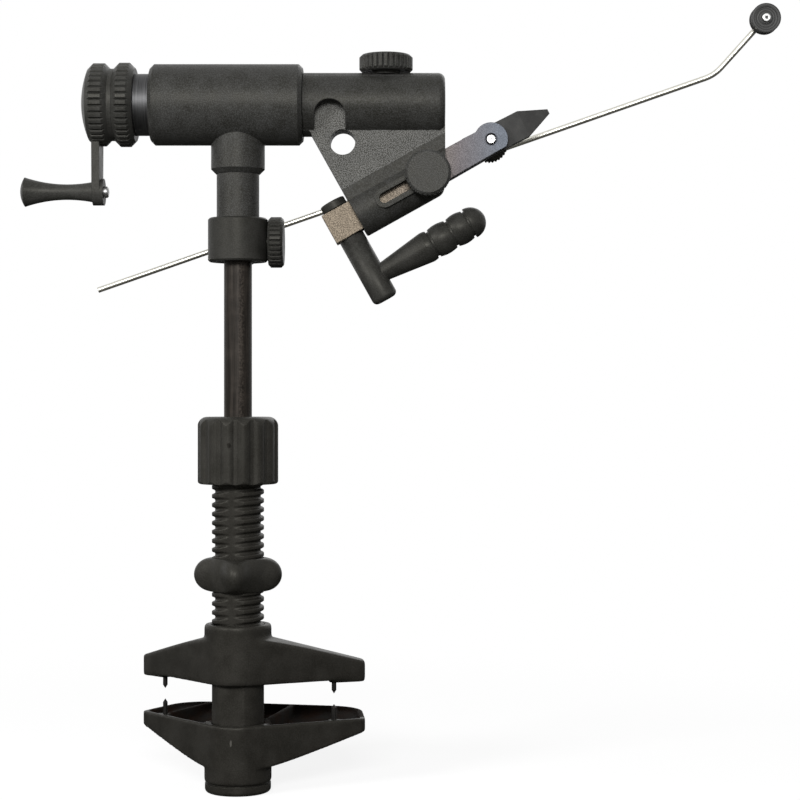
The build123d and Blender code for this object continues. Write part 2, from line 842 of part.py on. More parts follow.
handle_plane = Plane(
    origin=(arm_left - face_gap, 0, axis_height - crank_arm_length),
    x_dir=(-1, 0, 0),
    z_dir=(0, 1, 0),
)
handle_axis = Axis(handle_plane.origin, handle_plane.x_dir)
with BuildPart() as crank_handle:
    with BuildSketch(handle_plane):
        with BuildLine():
            Line((0, 0), (0, handle_root_radius))
            Spline(
                (0, handle_root_radius),
                (handle_length * handle_waist_share, handle_waist_radius),
                (handle_length - handle_dome, handle_end_radius),
            )
            TangentArc(
                (handle_length, 0),
                (handle_length - handle_dome, handle_end_radius),
                tangent=(0, 1),
            )
            Line((handle_length, 0), (0, 0))
        make_face()
    revolve(axis=handle_axis)
    with BuildSketch(Plane(handle_plane.origin, x_dir=(0, 1, 0), z_dir=(-1, 0, 0))):
        Circle(handle_screw_radius + run_fit)
    extrude(amount=handle_screw_reach, mode=Mode.SUBTRACT)
crank_handle.part.label = "crank_handle"
export_step(crank_handle.part, "parts/crank_handle.step")

with BuildPart() as handle_screw:
    with BuildSketch(rotor_plane.offset(boss_right)):
        with Locations((0, -crank_arm_length)):
            Circle(handle_screw_head_radius)
    extrude(amount=handle_screw_head_height)
    fillet(handle_screw.edges().group_by(Axis.X)[-1], handle_screw_head_height / 2)
    with BuildSketch(rotor_plane.offset(boss_right)):
        with Locations((0, -crank_arm_length)):
            Circle(handle_screw_radius)
    extrude(amount=arm_left - boss_right - handle_screw_reach)
handle_screw.part.label = "handle_screw"
export_step(handle_screw.part, "parts/handle_screw.step")

# Jaw holder: a tube on the shaft, a web below it and a round rail for the jaw bars
bar_cos = cos(radians(bar_angle))
bar_sin = sin(radians(bar_angle))
channel_half_height = bar_tail_width / 2 + face_gap
channel_half_depth = bar_outer + face_gap
web_top = (jaw_screw_drop - web_top_drop + rail_tail * bar_sin) / bar_cos
lip_top = rail_radius + lip_width


def bar_point(along, across):
    """The X and Z of a point given along and across the bars."""
    point = bar_plane.from_local_coords((along, across, 0))
    return (point.X, point.Z)


def right_edge_point(across):
    """Where a line along the bars leaves the holder's flat right end."""
    return bar_point((holder_right - jaw_screw_x + across * bar_sin) / bar_cos, across)


with BuildSketch(Plane.XZ) as holder_outline:
    with BuildLine():
        Polyline(
            bar_point(-rail_tail, web_top),
            (holder_right, axis_height - web_top_drop),
            right_edge_point(-rail_radius),
            bar_point(-rail_tail, -rail_radius),
            close=True,
        )
    make_face()
    fillet(vertices().sort_by(Axis.Y)[0], rail_edge)
    fillet(vertices().group_by(Axis.X)[-1].sort_by(Axis.Y)[0], web_corner_radius)

with BuildPart() as rail:
    with BuildSketch(
        Plane(
            origin=bar_plane.from_local_coords((-rail_tail, 0, 0)),
            x_dir=(0, 1, 0),
            z_dir=bar_plane.x_dir,
        )
    ):
        Circle(rail_radius)
    extrude(amount=rail_tail)
    extrude(holder_outline.sketch, amount=rail_front, both=True, mode=Mode.INTERSECT)

with BuildPart() as jaw_holder:
    with BuildSketch(rotor_plane.offset(holder_left)):
        Circle(holder_radius)
    extrude(amount=holder_length)
    fillet(jaw_holder.edges().group_by(Axis.X)[-1], holder_edge)
    with BuildSketch(Plane.XZ):
        with BuildLine():
            Polyline(
                bar_point(-rail_tail, web_top),
                (holder_right, axis_height - web_top_drop),
                right_edge_point(0),
                bar_point(-rail_tail, 0),
                close=True,
            )
        make_face()
    extrude(amount=web_half_thickness, both=True)
    with BuildSketch(Plane.XZ):
        with BuildLine():
            Polyline(
                bar_point(-rail_tail, 0),
                right_edge_point(0),
                right_edge_point(lip_top),
                bar_point(-rail_tail, lip_top),
                close=True,
            )
        make_face()
    extrude(amount=web_half_thickness + lip_height, both=True)
    add(rail.part)
    with BuildSketch(bar_plane):
        with Locations((-slot_middle, 0)):
            SlotOverall(slot_length + slot_rim_width - slot_width, slot_rim_width)
    extrude(amount=rail_front)
    with BuildSketch(bar_plane):
        Rectangle(2 * rail_tail + overrun, 2 * channel_half_height)
    extrude(amount=channel_half_depth, both=True, mode=Mode.SUBTRACT)
    with BuildSketch(bar_plane):
        with Locations((-slot_middle, 0)):
            SlotOverall(slot_length, slot_width)
    extrude(amount=rail_front + overrun, mode=Mode.SUBTRACT)
    for side in (1, -1):
        with BuildSketch(Plane.XZ.offset(side * web_half_thickness)):
            with Locations((notch_middle, notch_level)):
                Circle(notch_width / 2)
                Rectangle(
                    notch_width, notch_depth, align=(Align.CENTER, Align.MAX)
                )
        extrude(amount=side * holder_radius, mode=Mode.SUBTRACT)
    with BuildSketch(Plane.XZ):
        with Locations((tool_hole_x, axis_height - tool_hole_drop)):
            Circle(tool_hole_radius)
    extrude(amount=holder_radius, both=True, mode=Mode.SUBTRACT)
    with BuildSketch(rotor_plane.offset(holder_left)):
        Circle(shaft_nose_radius + press_gap)
    extrude(amount=shaft_nose - holder_left, mode=Mode.SUBTRACT)
    with BuildSketch(head_screw_plane):
        Circle(spot_radius)
    extrude(amount=holder_radius, mode=Mode.SUBTRACT)
    with BuildSketch(head_screw_plane):
        Circle(screw_radius + run_fit)
    extrude(amount=-holder_radius, mode=Mode.SUBTRACT)
jaw_holder.part.label = "jaw_holder"
export_step(jaw_holder.part, "parts/jaw_holder.step")

head_screw = thumb_screw(
    head_screw_plane.offset(head_screw_neck_height + face_gap),
    (head_screw_radius, head_screw_height, knob_edge),
    (head_screw_neck_radius, head_screw_neck_height),
    (screw_radius, spot_level - shaft_nose_radius - part_gap),
    tooth_depth,
)
head_screw.part.label = "head_screw"
export_step(head_screw.part, "parts/head_screw.step")


# Two jaw bars with their jaws, joined by the jaw screw
def bar_outline(plane):
    """A bar: a tapered strip whose round head stands out above the jaw screw only."""
    with BuildSketch(plane) as outline:
        Circle(bar_head_radius)
        with Locations((0, -bar_head_width / 2)):
            Rectangle(
                2 * bar_head_radius,
                bar_head_radius,
                align=(Align.CENTER, Align.MAX),
                mode=Mode.SUBTRACT,
            )
        with BuildLine():
            Polyline(
                (-bar_tail, -bar_tail_width / 2),
                (0, -bar_head_width / 2),
                (0, bar_head_width / 2),
                (-bar_tail, bar_tail_width / 2),
                close=True,
            )
        make_face()
    return outline.sketch


def jaw_blade(side, hole_radius):
    """A jaw, drawn from its edge and cut to its plan; side is +1 behind and -1 in front."""
    meet = side * jaw_meet_gap / 2
    relieved = meet + side * jaw_relief
    droop = radians(jaw_droop)
    plan_plane = Plane(
        origin=bar_plane.origin,
        x_dir=bar_plane.x_dir * cos(droop) - bar_plane.y_dir * sin(droop),
        z_dir=bar_plane.z_dir,
    )
    edge_plane = Plane(
        origin=bar_plane.origin, x_dir=plan_plane.x_dir, z_dir=plan_plane.y_dir
    )
    with BuildPart() as blade:
        with BuildSketch(edge_plane):
            with BuildLine():
                Polyline(
                    (-jaw_heel, relieved),
                    (jaw_grip_start, relieved),
                    (jaw_grip_start, meet),
                    (jaw_nose, meet),
                    (jaw_nose, meet + side * jaw_nose_thickness),
                    (jaw_shoulder, side * bar_gap / 2),
                    (-jaw_heel, side * bar_gap / 2),
                    close=True,
                )
            make_face()
        extrude(amount=jaw_half_width, both=True)
        with BuildSketch(plan_plane):
            with BuildLine():
                Polyline(
                    (-jaw_heel, -jaw_half_width),
                    (jaw_shoulder, -jaw_half_width),
                    (jaw_nose, -jaw_nose_half_width),
                    (jaw_nose, jaw_nose_half_width),
                    (jaw_shoulder, jaw_half_width),
                    (-jaw_heel, jaw_half_width),
                    close=True,
                )
            make_face()
        extrude(amount=bar_gap, both=True, mode=Mode.INTERSECT)
        with BuildSketch(plan_plane):
            Circle(hole_radius)
        extrude(amount=bar_gap, both=True, mode=Mode.SUBTRACT)
    return blade


knob_screw_point = (-jaw_knob_behind, 0)
with BuildPart() as front_bar:
    extrude(bar_outline(bar_plane.offset(bar_gap / 2)), amount=bar_thickness)
    with BuildSketch(bar_plane):
        Circle(jaw_screw_radius + press_gap)
    extrude(amount=bar_outer, mode=Mode.SUBTRACT)
    with BuildSketch(bar_plane.offset(bar_outer)):
        Circle(jaw_screw_head_seat)
    extrude(amount=-jaw_screw_head_sink, mode=Mode.SUBTRACT)
    with BuildSketch(bar_plane):
        with Locations(knob_screw_point):
            Circle(jaw_knob_screw_radius + run_fit)
    extrude(amount=bar_outer, mode=Mode.SUBTRACT)
front_bar.part.label = "front_bar"
export_step(front_bar.part, "parts/front_bar.step")

front_jaw = jaw_blade(-1, jaw_screw_radius + press_gap)
front_jaw.part.label = "front_jaw"
export_step(front_jaw.part, "parts/front_jaw.step")

with BuildPart() as rear_bar:
    extrude(bar_outline(bar_plane.offset(-bar_outer)), amount=bar_thickness)
    with BuildSketch(bar_plane):
        Circle(jaw_screw_radius + pivot_play)
    extrude(amount=-bar_outer, mode=Mode.SUBTRACT)
rear_bar.part.label = "rear_bar"
export_step(rear_bar.part, "parts/rear_bar.step")

rear_jaw = jaw_blade(1, jaw_screw_radius + pivot_play)
rear_jaw.part.label = "rear_jaw"
export_step(rear_jaw.part, "parts/rear_jaw.step")

jaw_screw_end = bar_outer + face_gap + adjust_neck_height + adjust_knob_height - knob_edge
with BuildPart() as jaw_screw:
    with BuildSketch(bar_plane.offset(bar_outer - jaw_screw_head_sink)):
        Circle(jaw_screw_head_radius)
    extrude(amount=jaw_screw_head_sink + jaw_screw_head_rise)
    fillet(jaw_screw.edges().group_by(Axis.Y)[0], jaw_screw_head_rise)
    with BuildSketch(bar_plane.offset(bar_outer - jaw_screw_head_sink)):
        Circle(jaw_screw_radius)
    extrude(amount=jaw_screw_head_sink - bar_outer - jaw_screw_end)
jaw_screw.part.label = "jaw_screw"
export_step(jaw_screw.part, "parts/jaw_screw.step")

adjust_plane = Plane(
    origin=bar_plane.from_local_coords((0, 0, -bar_outer - face_gap)),
    x_dir=-bar_plane.x_dir,
    z_dir=-bar_plane.z_dir,
)
adjust_disc = toothed_disc(
    adjust_plane.offset(adjust_neck_height),
    adjust_knob_radius,
    adjust_knob_height,
    knob_edge,
    knob_teeth,
    tooth_depth,
)
with BuildPart() as adjust_knob:
    add(adjust_disc.part)
    with BuildSketch(adjust_plane):
        Circle(adjust_neck_radius)
    extrude(amount=adjust_neck_height)
    with BuildSketch(adjust_plane):
        Circle(jaw_screw_radius + run_fit)
    extrude(amount=jaw_screw_end - bar_outer - face_gap + run_fit, mode=Mode.SUBTRACT)
adjust_knob.part.label = "adjust_knob"
export_step(adjust_knob.part, "parts/adjust_knob.step")

jaw_knob_plane = Plane(
    origin=bar_plane.from_local_coords((-jaw_knob_behind, 0, rail_front + face_gap)),
    x_dir=bar_plane.x_dir,
    z_dir=bar_plane.z_dir,
)
jaw_knob = thumb_screw(
    jaw_knob_plane,
    (jaw_knob_radius, jaw_knob_height, knob_edge),
    (jaw_knob_screw_radius, 0),
    (jaw_knob_screw_radius, rail_front + face_gap - bar_gap / 2 - part_gap),
    fine_tooth_depth,
)
jaw_knob.part.label = "jaw_knob"
export_step(jaw_knob.part, "parts/jaw_knob.step")

# Cam lever below the bars and its cap above them
cam_plane = Plane(
    origin=bar_plane.from_local_coords((-cam_behind, 0, 0)),
    x_dir=bar_plane.x_dir,
    z_dir=-bar_plane.y_dir,
)
cam_axis = Axis(cam_plane.origin, cam_plane.z_dir)
cam_reach = bar_tail_width / 2 + cam_bar_gap
lever_tilt = radians(lever_dip)
lever_plane = Plane(
    origin=cam_plane.from_local_coords((0, 0, lever_drop)),
    x_dir=bar_plane.x_dir * cos(lever_tilt) - bar_plane.y_dir * sin(lever_tilt),
    z_dir=bar_plane.z_dir,
)
lever_grooves = [share * lever_length for share in lever_groove_shares]
lever_cone_end = lever_grooves[0] - lever_groove_half_width - lever_shoulder
lever_ball_start = lever_grooves[-1] + lever_groove_half_width
lever_middle_radius = (lever_grip_radius + lever_groove_radius) / 2


def groove_side(groove, side):
    """The foot of a groove's wall, behind it or before it along the handle."""
    return (groove + side * lever_groove_half_width, lever_groove_radius)


with BuildPart() as cam_lever:
    with BuildSketch(cam_plane.offset(cam_reach)):
        Circle(cam_shaft_radius)
    extrude(amount=cam_shaft_end - cam_reach)
    fillet(cam_lever.edges().filter_by(GeomType.CIRCLE).sort_by(cam_axis)[-1], cam_shaft_edge)
    with BuildSketch(cam_plane.offset(-cam_reach)):
        Ellipse(cam_half_low, cam_half_high)
    extrude(amount=2 * cam_reach)
    with BuildSketch(cam_plane.offset(-cam_reach)):
        Circle(cam_pin_radius)
    extrude(amount=-cam_pin_length)
    with BuildSketch(lever_plane):
        with BuildLine():
            Polyline(
                (lever_length, 0), (0, 0), (0, lever_root_radius), (lever_cone_end, lever_grip_radius)
            )
            ThreePointArc(
                (lever_cone_end, lever_grip_radius),
                (lever_cone_end + lever_shoulder * lever_shoulder_share, lever_middle_radius),
                groove_side(lever_grooves[0], -1),
            )
            for groove in lever_grooves:
                Line(groove_side(groove, -1), groove_side(groove, 1))
            for before, after in zip(lever_grooves, lever_grooves[1:]):
                ThreePointArc(
                    groove_side(before, 1),
                    ((before + after) / 2, lever_grip_radius),
                    groove_side(after, -1),
                )
            Line(groove_side(lever_grooves[-1], 1), (lever_ball_start, lever_grip_radius))
            TangentArc((lever_length, 0), (lever_ball_start, lever_grip_radius), tangent=(0, 1))
        make_face()
    revolve(axis=Axis(lever_plane.origin, lever_plane.x_dir))
cam_lever.part.label = "cam_lever"
export_step(cam_lever.part, "parts/cam_lever.step")

with BuildPart() as cam_cap:
    with BuildSketch(cam_plane.offset(-cam_reach)):
        Circle(cam_shaft_radius)
    extrude(amount=-cam_cap_height)
    fillet(cam_cap.edges().filter_by(GeomType.CIRCLE).sort_by(cam_axis)[0], cam_cap_edge)
    with BuildSketch(cam_plane.offset(-cam_reach)):
        Circle(cam_pin_radius + press_gap)
    extrude(amount=-cam_pin_length, mode=Mode.SUBTRACT)
cam_cap.part.label = "cam_cap"
export_step(cam_cap.part, "parts/cam_cap.step")
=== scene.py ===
import logging
import math
from dataclasses import dataclass, replace
from enum import Enum
from typing import Any, Optional, Sequence, Union

import bpy
import numpy as np
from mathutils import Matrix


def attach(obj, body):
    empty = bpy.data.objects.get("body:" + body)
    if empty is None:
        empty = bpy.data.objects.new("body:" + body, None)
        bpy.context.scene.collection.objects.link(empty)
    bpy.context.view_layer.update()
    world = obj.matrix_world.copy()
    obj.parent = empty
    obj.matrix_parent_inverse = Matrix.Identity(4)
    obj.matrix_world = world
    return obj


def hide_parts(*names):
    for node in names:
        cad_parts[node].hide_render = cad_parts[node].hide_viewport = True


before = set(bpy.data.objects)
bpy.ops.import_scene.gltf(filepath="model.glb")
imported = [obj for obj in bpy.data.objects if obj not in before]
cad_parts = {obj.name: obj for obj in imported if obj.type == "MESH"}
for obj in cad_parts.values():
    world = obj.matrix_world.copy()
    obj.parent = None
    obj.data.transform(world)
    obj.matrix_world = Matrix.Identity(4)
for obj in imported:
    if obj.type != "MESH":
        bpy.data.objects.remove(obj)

log = logging.getLogger("vise")

Colour = tuple[float, float, float]
Vector = tuple[float, float, float]
Pair = tuple[float, float]

MM = 0.001
WHITE: Colour = (1.0, 1.0, 1.0)
ORIGIN: Vector = (0.0, 0.0, 0.0)

# The jaw screw's place in X and Z, and how steeply the bars rise from the cam towards it
BAR_PIN: Pair = (90.4 * MM, 232.75 * MM)
BAR_SLOPE = math.radians(29.2)

# Rounded edges: samples of the softened normal, and how far it leaves the true one where wear shows
EDGE_SAMPLES = 6
EDGE_WEAR_FADE: Pair = (0.01, 0.16)

# Remeshed mouldings: how near corners are joined, and how far one smoothing pass goes
WELD_REACH = 0.01 * MM
SMOOTH_FACTOR = 0.5


class Signal:
    """A number that changes over a surface; arithmetic on it adds Math nodes."""

    def __init__(self, graph: "Graph", socket: bpy.types.NodeSocket) -> None:
        """Wraps one output socket.

        Args:
            graph: The node graph that the socket belongs to.
            socket: The output that carries the number.
        """
        self.graph = graph
        self.socket = socket

    def math(self, operation: str, first: Any, second: Any = 0.0) -> "Signal":
        """Adds one Math node.

        Args:
            operation: Blender's name of the operation.
            first: The first operand, a number or a signal.
            second: The second operand, a number or a signal.

        Returns:
            The node's result.
        """
        return self.graph.add("ShaderNodeMath", {"operation": operation}, {0: first, 1: second})

    def __add__(self, other: Any) -> "Signal":
        """self + other."""
        return self.math("ADD", self, other)

    def __radd__(self, other: Any) -> "Signal":
        """other + self."""
        return self.math("ADD", other, self)

    def __sub__(self, other: Any) -> "Signal":
        """self - other."""
        return self.math("SUBTRACT", self, other)

    def __rsub__(self, other: Any) -> "Signal":
        """other - self."""
        return self.math("SUBTRACT", other, self)

    def __mul__(self, other: Any) -> "Signal":
        """self * other."""
        return self.math("MULTIPLY", self, other)

    def __rmul__(self, other: Any) -> "Signal":
        """other * self."""
        return self.math("MULTIPLY", other, self)

    def __truediv__(self, other: Any) -> "Signal":
        """self / other."""
        return self.math("DIVIDE", self, other)

    def __rtruediv__(self, other: Any) -> "Signal":
        """other / self."""
        return self.math("DIVIDE", other, self)

    def __pow__(self, other: Any) -> "Signal":
        """self ** other."""
        return self.math("POWER", self, other)

    def __rpow__(self, other: Any) -> "Signal":
        """other ** self."""
        return self.math("POWER", other, self)

    def absolute(self) -> "Signal":
        """The size of the number without its sign."""
        return self.math("ABSOLUTE", self)

    def greater(self, other: Any) -> "Signal":
        """1 where the number is above the other, else 0."""
        return self.math("GREATER_THAN", self, other)

    def highest(self, other: Any) -> "Signal":
        """The larger of the two numbers."""
        return self.math("MAXIMUM", self, other)

    def sine(self) -> "Signal":
        """The sine of the number, in radians."""
        return self.math("SINE", self)

    def step(self, low: float, high: float) -> "Signal":
        """A smooth rise from 0 at low to 1 at high.

        Args:
            low: The number that gives 0.
            high: The number that gives 1.

        Returns:
            The eased share between the two.
        """
        return self.graph.add(
            "ShaderNodeMapRange",
            {"interpolation_type": "SMOOTHSTEP"},
            {"Value": self, "From Min": low, "From Max": high, "To Min": 0.0, "To Max": 1.0},
        )


class Graph:
    """The node graph of a material or of the world."""

    def __init__(self, tree: bpy.types.NodeTree) -> None:
        """Empties the tree.

        Args:
            tree: The node tree to fill.
        """
        self.tree = tree
        tree.nodes.clear()

    def add(
        self,
        kind: str,
        settings: Optional[dict[str, Any]] = None,
        inputs: Optional[dict[Any, Any]] = None,
        output: Union[int, str] = 0,
    ) -> Signal:
        """Adds a node: its settings first, then its sockets.

        Args:
            kind: Blender's node type.
            settings: Node properties; "stops" sets a colour ramp.
            inputs: Socket name or number to a value, a signal or a socket.
            output: The output that is wanted.

        Returns:
            That output, wrapped.
        """
        node = self.tree.nodes.new(kind)
        for key, value in (settings or {}).items():
            if key == "stops":
                self.stops(node.color_ramp, value)
            else:
                setattr(node, key, value)
        for key, value in (inputs or {}).items():
            socket = node.inputs[key]
            if isinstance(value, Signal):
                self.tree.links.new(value.socket, socket)
            elif isinstance(value, bpy.types.NodeSocket):
                self.tree.links.new(value, socket)
            elif socket.type == "RGBA" and len(value) == 3:
                socket.default_value = (*value, 1.0)
            else:
                socket.default_value = value
        if not node.outputs:
            return Signal(self, None)
        return Signal(self, node.outputs[output])

    @staticmethod
    def stops(ramp: bpy.types.ColorRamp, stops: Sequence[tuple[float, Colour]]) -> None:
        """Sets a ramp's stops.

        Args:
            ramp: The ramp to fill.
            stops: Place and colour of each stop.
        """
        while len(ramp.elements) < len(stops):
            ramp.elements.new(1.0)
        for element, (place, colour) in zip(ramp.elements, stops):
            element.position = place
            element.color = (*colour, 1.0)

    def place(self) -> Signal:
        """The point in the object's own frame, in metres."""
        return self.add("ShaderNodeTexCoord", output="Object")

    def axis(self, name: str) -> Signal:
        """One coordinate of the point in the object's own frame."""
        return self.add("ShaderNodeSeparateXYZ", {}, {0: self.place()}, name)

    def away(self, axes: tuple[str, str], centre: Pair) -> Signal:
        """The distance from a centre in the plane of two axes.

        Args:
            axes: The names of the two axes.
            centre: The centre's two coordinates.

        Returns:
            The root of the sum of both squared offsets.
        """
        first = self.axis(axes[0]) - centre[0]
        second = self.axis(axes[1]) - centre[1]
        return (first * first + second * second) ** 0.5

    def stretched(self, scale: Vector, turn: Vector = ORIGIN) -> Signal:
        """The point, turned and then stretched along the axes.

        Args:
            scale: Factor along each axis.
            turn: Angles about the axes, in radians.

        Returns:
            The changed coordinates.
        """
        return self.add(
            "ShaderNodeMapping", {"vector_type": "POINT"},
            {"Vector": self.place(), "Rotation": turn, "Scale": scale},
        )

    def noise(
        self, size: float, detail: float = 2.0, at: Optional[Signal] = None, rough: float = 0.5
    ) -> Signal:
        """Soft noise between 0 and 1.

        Args:
            size: The width of a blotch, in metres of the coordinates.
            detail: How many finer layers are added.
            at: Coordinates, or the object's own.
            rough: How strong the finer layers are.

        Returns:
            The noise.
        """
        return self.add(
            "ShaderNodeTexNoise", {"noise_dimensions": "3D"},
            {"Vector": at or self.place(), "Scale": 1.0 / size, "Detail": detail, "Roughness": rough},
        )

    def blend(self, share: Any, low: Any, high: Any) -> Signal:
        """A colour between two others.

        Args:
            share: 0 for the first and 1 for the second.
            low: The first colour.
            high: The second colour.

        Returns:
            The mixed colour.
        """
        return self.add(
            "ShaderNodeMix", {"data_type": "RGBA", "blend_type": "MIX"},
            {"Factor": share, 6: low, 7: high}, 2,
        )

    def edges(self, radius: float) -> Signal:
        """Normals that round sharp edges off.

        Args:
            radius: The edge radius, in metres.

        Returns:
            The softened normal.
        """
        return self.add("ShaderNodeBevel", {"samples": EDGE_SAMPLES}, {"Radius": radius})

    def edge_wear(self, normal: Signal) -> Signal:
        """0 on flat ground, rising where the softened normal leaves the true one.

        Args:
            normal: The softened normal.

        Returns:
            The share of wear.
        """
        true = self.add("ShaderNodeNewGeometry", {}, {}, "True Normal")
        along = self.add(
            "ShaderNodeVectorMath", {"operation": "DOT_PRODUCT"}, {0: normal, 1: true}, "Value"
        )
        return (1.0 - along).step(*EDGE_WEAR_FADE)

    def relief(self, height: Signal, depth: float, normal: Signal, strength: float = 1.0) -> Signal:
        """Bumps on a normal.

        Args:
            height: The height as a share of the depth.
            depth: The depth in metres.
            normal: The normal below the bumps.
            strength: How much of the bumps is used.

        Returns:
            The bumped normal.
        """
        return self.add(
            "ShaderNodeBump", {},
            {"Height": height, "Distance": depth, "Strength": strength, "Normal": normal},
        )

    def surface(self, inputs: dict[str, Any]) -> None:
        """Ends a material in one Principled shader.

        Args:
            inputs: Its sockets by name.
        """
        shader = self.add("ShaderNodeBsdfPrincipled", {}, inputs)
        self.add("ShaderNodeOutputMaterial", {}, {"Surface": shader})


@dataclass(frozen=True)
class Texture:
    """A mould's texture: the noise that its flecks rise over, their share of the tone, their depth."""

    fade: Pair
    share: float
    depth: float


class Grain(Enum):
    """How a moulded surface came out of its tool."""

    SPARK = Texture((0.42, 0.62), 0.75, 0.08 * MM)
    SATIN = Texture((0.36, 0.68), 0.4, 0.03 * MM)


def new_material(name: str) -> tuple[bpy.types.Material, Graph]:
    """An empty node material.

    Args:
        name: The material's name.

    Returns:
        The material and its graph.
    """
    material = bpy.data.materials.new(name)
    material.use_nodes = True
    return material, Graph(material.node_tree)


@dataclass(frozen=True)
class Mark:
    """A small oval patch of colour on the front of a moulding; used for a pale blemish and for a pit's
    painted shade.
    """

    at: Pair
    half: Pair
    colour: Colour
    ragged: float = 0.6
    ragged_size: float = 0.8 * MM
    fade: Pair = (0.9, 1.3)

    def share(self, graph: Graph) -> Signal:
        """How much of the blemish covers a point.

        Args:
            graph: The graph to add to.

        Returns:
            1 inside the oval on the side towards -Y, else 0.
        """
        x = (graph.axis("X") - self.at[0]) / self.half[0]
        z = (graph.axis("Z") - self.at[1]) / self.half[1]
        ragged = (x * x + z * z) ** 0.5 + graph.noise(self.ragged_size) * self.ragged
        return (1.0 - ragged.step(*self.fade)) * (-1.0 * graph.axis("Y")).greater(0.0)


@dataclass(frozen=True)
class Wall:
    """The flat web of the holder: two depths along Y, above a sloping line."""

    depth: float
    pin: Pair
    slope: float
    above: float
    fade: Pair = (0.1 * MM, 0.2 * MM)

    def share(self, graph: Graph) -> Signal:
        """How much a point belongs to the flat web.

        Args:
            graph: The graph to add to.

        Returns:
            1 on the web's two faces above the rail, else 0.
        """
        off = (graph.axis("Y").absolute() - self.depth).absolute()
        across = (graph.axis("Z") - self.pin[1]) * math.cos(self.slope)
        across = across - (graph.axis("X") - self.pin[0]) * math.sin(self.slope)
        return (1.0 - off.step(*self.fade)) * across.step(self.above, self.above + self.fade[0])


@dataclass(frozen=True)
class Hollow:
    """The open inside of a clamp jaw: behind its two front walls and below its rim, where a brown
    stain is darkened by painted shade.
    """

    yaw: float
    front: float
    lean: float
    rim: float
    colour: Colour
    # Near black: the painted shade deepest inside the hollow
    deepest_shade: Colour = (0.004, 0.0035, 0.003)
    wall_fade: float = 1.0 * MM
    rim_fade: Pair = (0.2 * MM, 1.5 * MM)

    def share(self, graph: Graph) -> Signal:
        """How much a point belongs to the inside.

        Args:
            graph: The graph to add to.

        Returns:
            1 behind the walls and below the rim, else 0.
        """
        cos, sin = math.cos(self.yaw), math.sin(self.yaw)
        x, y = graph.axis("X"), graph.axis("Y")
        across = (x * cos + y * sin).absolute()
        behind = y * cos - x * sin - across * self.lean
        deep = self.rim - graph.axis("Z")
        return behind.step(self.front, self.front + self.wall_fade) * deep.step(*self.rim_fade)


@dataclass(frozen=True)
class MouldedPlastic:
    """Black glass-filled plastic: speckled grain, soft clouds and rubbed edges."""

    name: str
    dark: Colour = (0.022, 0.0215, 0.0185)
    pale: Colour = (0.074, 0.074, 0.072)
    grain: Grain = Grain.SPARK
    roughness: float = 0.44
    edge: float = 0.30 * MM
    mark: Optional[Mark] = None
    wall: Optional[Wall] = None
    wall_pale: Colour = (0.205, 0.205, 0.199)
    hollow: Optional[Hollow] = None
    speck_size: float = 0.36 * MM
    speck_rough: float = 0.6
    speck_polish: float = 0.10
    wall_size: float = 0.34 * MM
    wall_fade: Pair = (0.44, 0.58)
    cloud_size: float = 7.0 * MM
    cloud_fade: Pair = (0.3, 0.75)
    cloud_share: float = 0.3
    cloud_dull: float = 0.12
    wear_size: float = 1.6 * MM
    wear_fade: Pair = (0.35, 0.7)
    wear_share: float = 0.25
    hollow_dull: float = 0.5
    gloss: float = 0.16
    gloss_tint: Colour = (1.0, 0.97, 0.86)
    relief: float = 0.8

    def colour(self, graph: Graph, speck: Signal, cloud: Signal, normal: Signal) -> Signal:
        """The base colour: specks and clouds, then a speckled wall, an oval mark and an inside with a
        brown stain under painted shade.

        Args:
            graph: The graph to add to.
            speck: Fine noise.
            cloud: Coarse noise.
            normal: The normal with softened edges.

        Returns:
            The colour.
        """
        texture = self.grain.value
        wear = graph.edge_wear(normal) * graph.noise(self.wear_size).step(*self.wear_fade)
        fleck = speck.step(*texture.fade) * texture.share
        tone = fleck + cloud * self.cloud_share + wear * self.wear_share
        colour = graph.blend(tone, self.dark, self.pale)
        if self.wall is not None:
            coarse = graph.noise(self.wall_size, rough=self.speck_rough).step(*self.wall_fade)
            speckled = graph.blend(coarse, self.dark, self.wall_pale)
            colour = graph.blend(self.wall.share(graph), colour, speckled)
        if self.mark is not None:
            colour = graph.blend(self.mark.share(graph), colour, self.mark.colour)
        # Inside the hollow: the brown stain, darkened towards near black as painted shade
        if self.hollow is not None:
            stained_and_shaded = graph.blend(cloud, self.hollow.deepest_shade, self.hollow.colour)
            colour = graph.blend(self.hollow.share(graph), colour, stained_and_shaded)
        return colour

    def material(self) -> bpy.types.Material:
        """Makes the material.

        Returns:
            The finished material.
        """
        material, graph = new_material(self.name)
        speck = graph.noise(self.speck_size, rough=self.speck_rough)
        cloud = graph.noise(self.cloud_size, detail=3.0).step(*self.cloud_fade)
        normal = graph.edges(self.edge)
        roughness = self.roughness + self.cloud_dull * cloud - self.speck_polish * speck
        if self.hollow is not None:
            roughness = roughness + self.hollow_dull * self.hollow.share(graph)
        graph.surface({
            "Base Color": self.colour(graph, speck, cloud, normal),
            "Roughness": roughness,
            "Specular IOR Level": self.gloss,
            "Specular Tint": self.gloss_tint,
            "Normal": graph.relief(speck, self.grain.value.depth, normal, self.relief),
        })
        return material


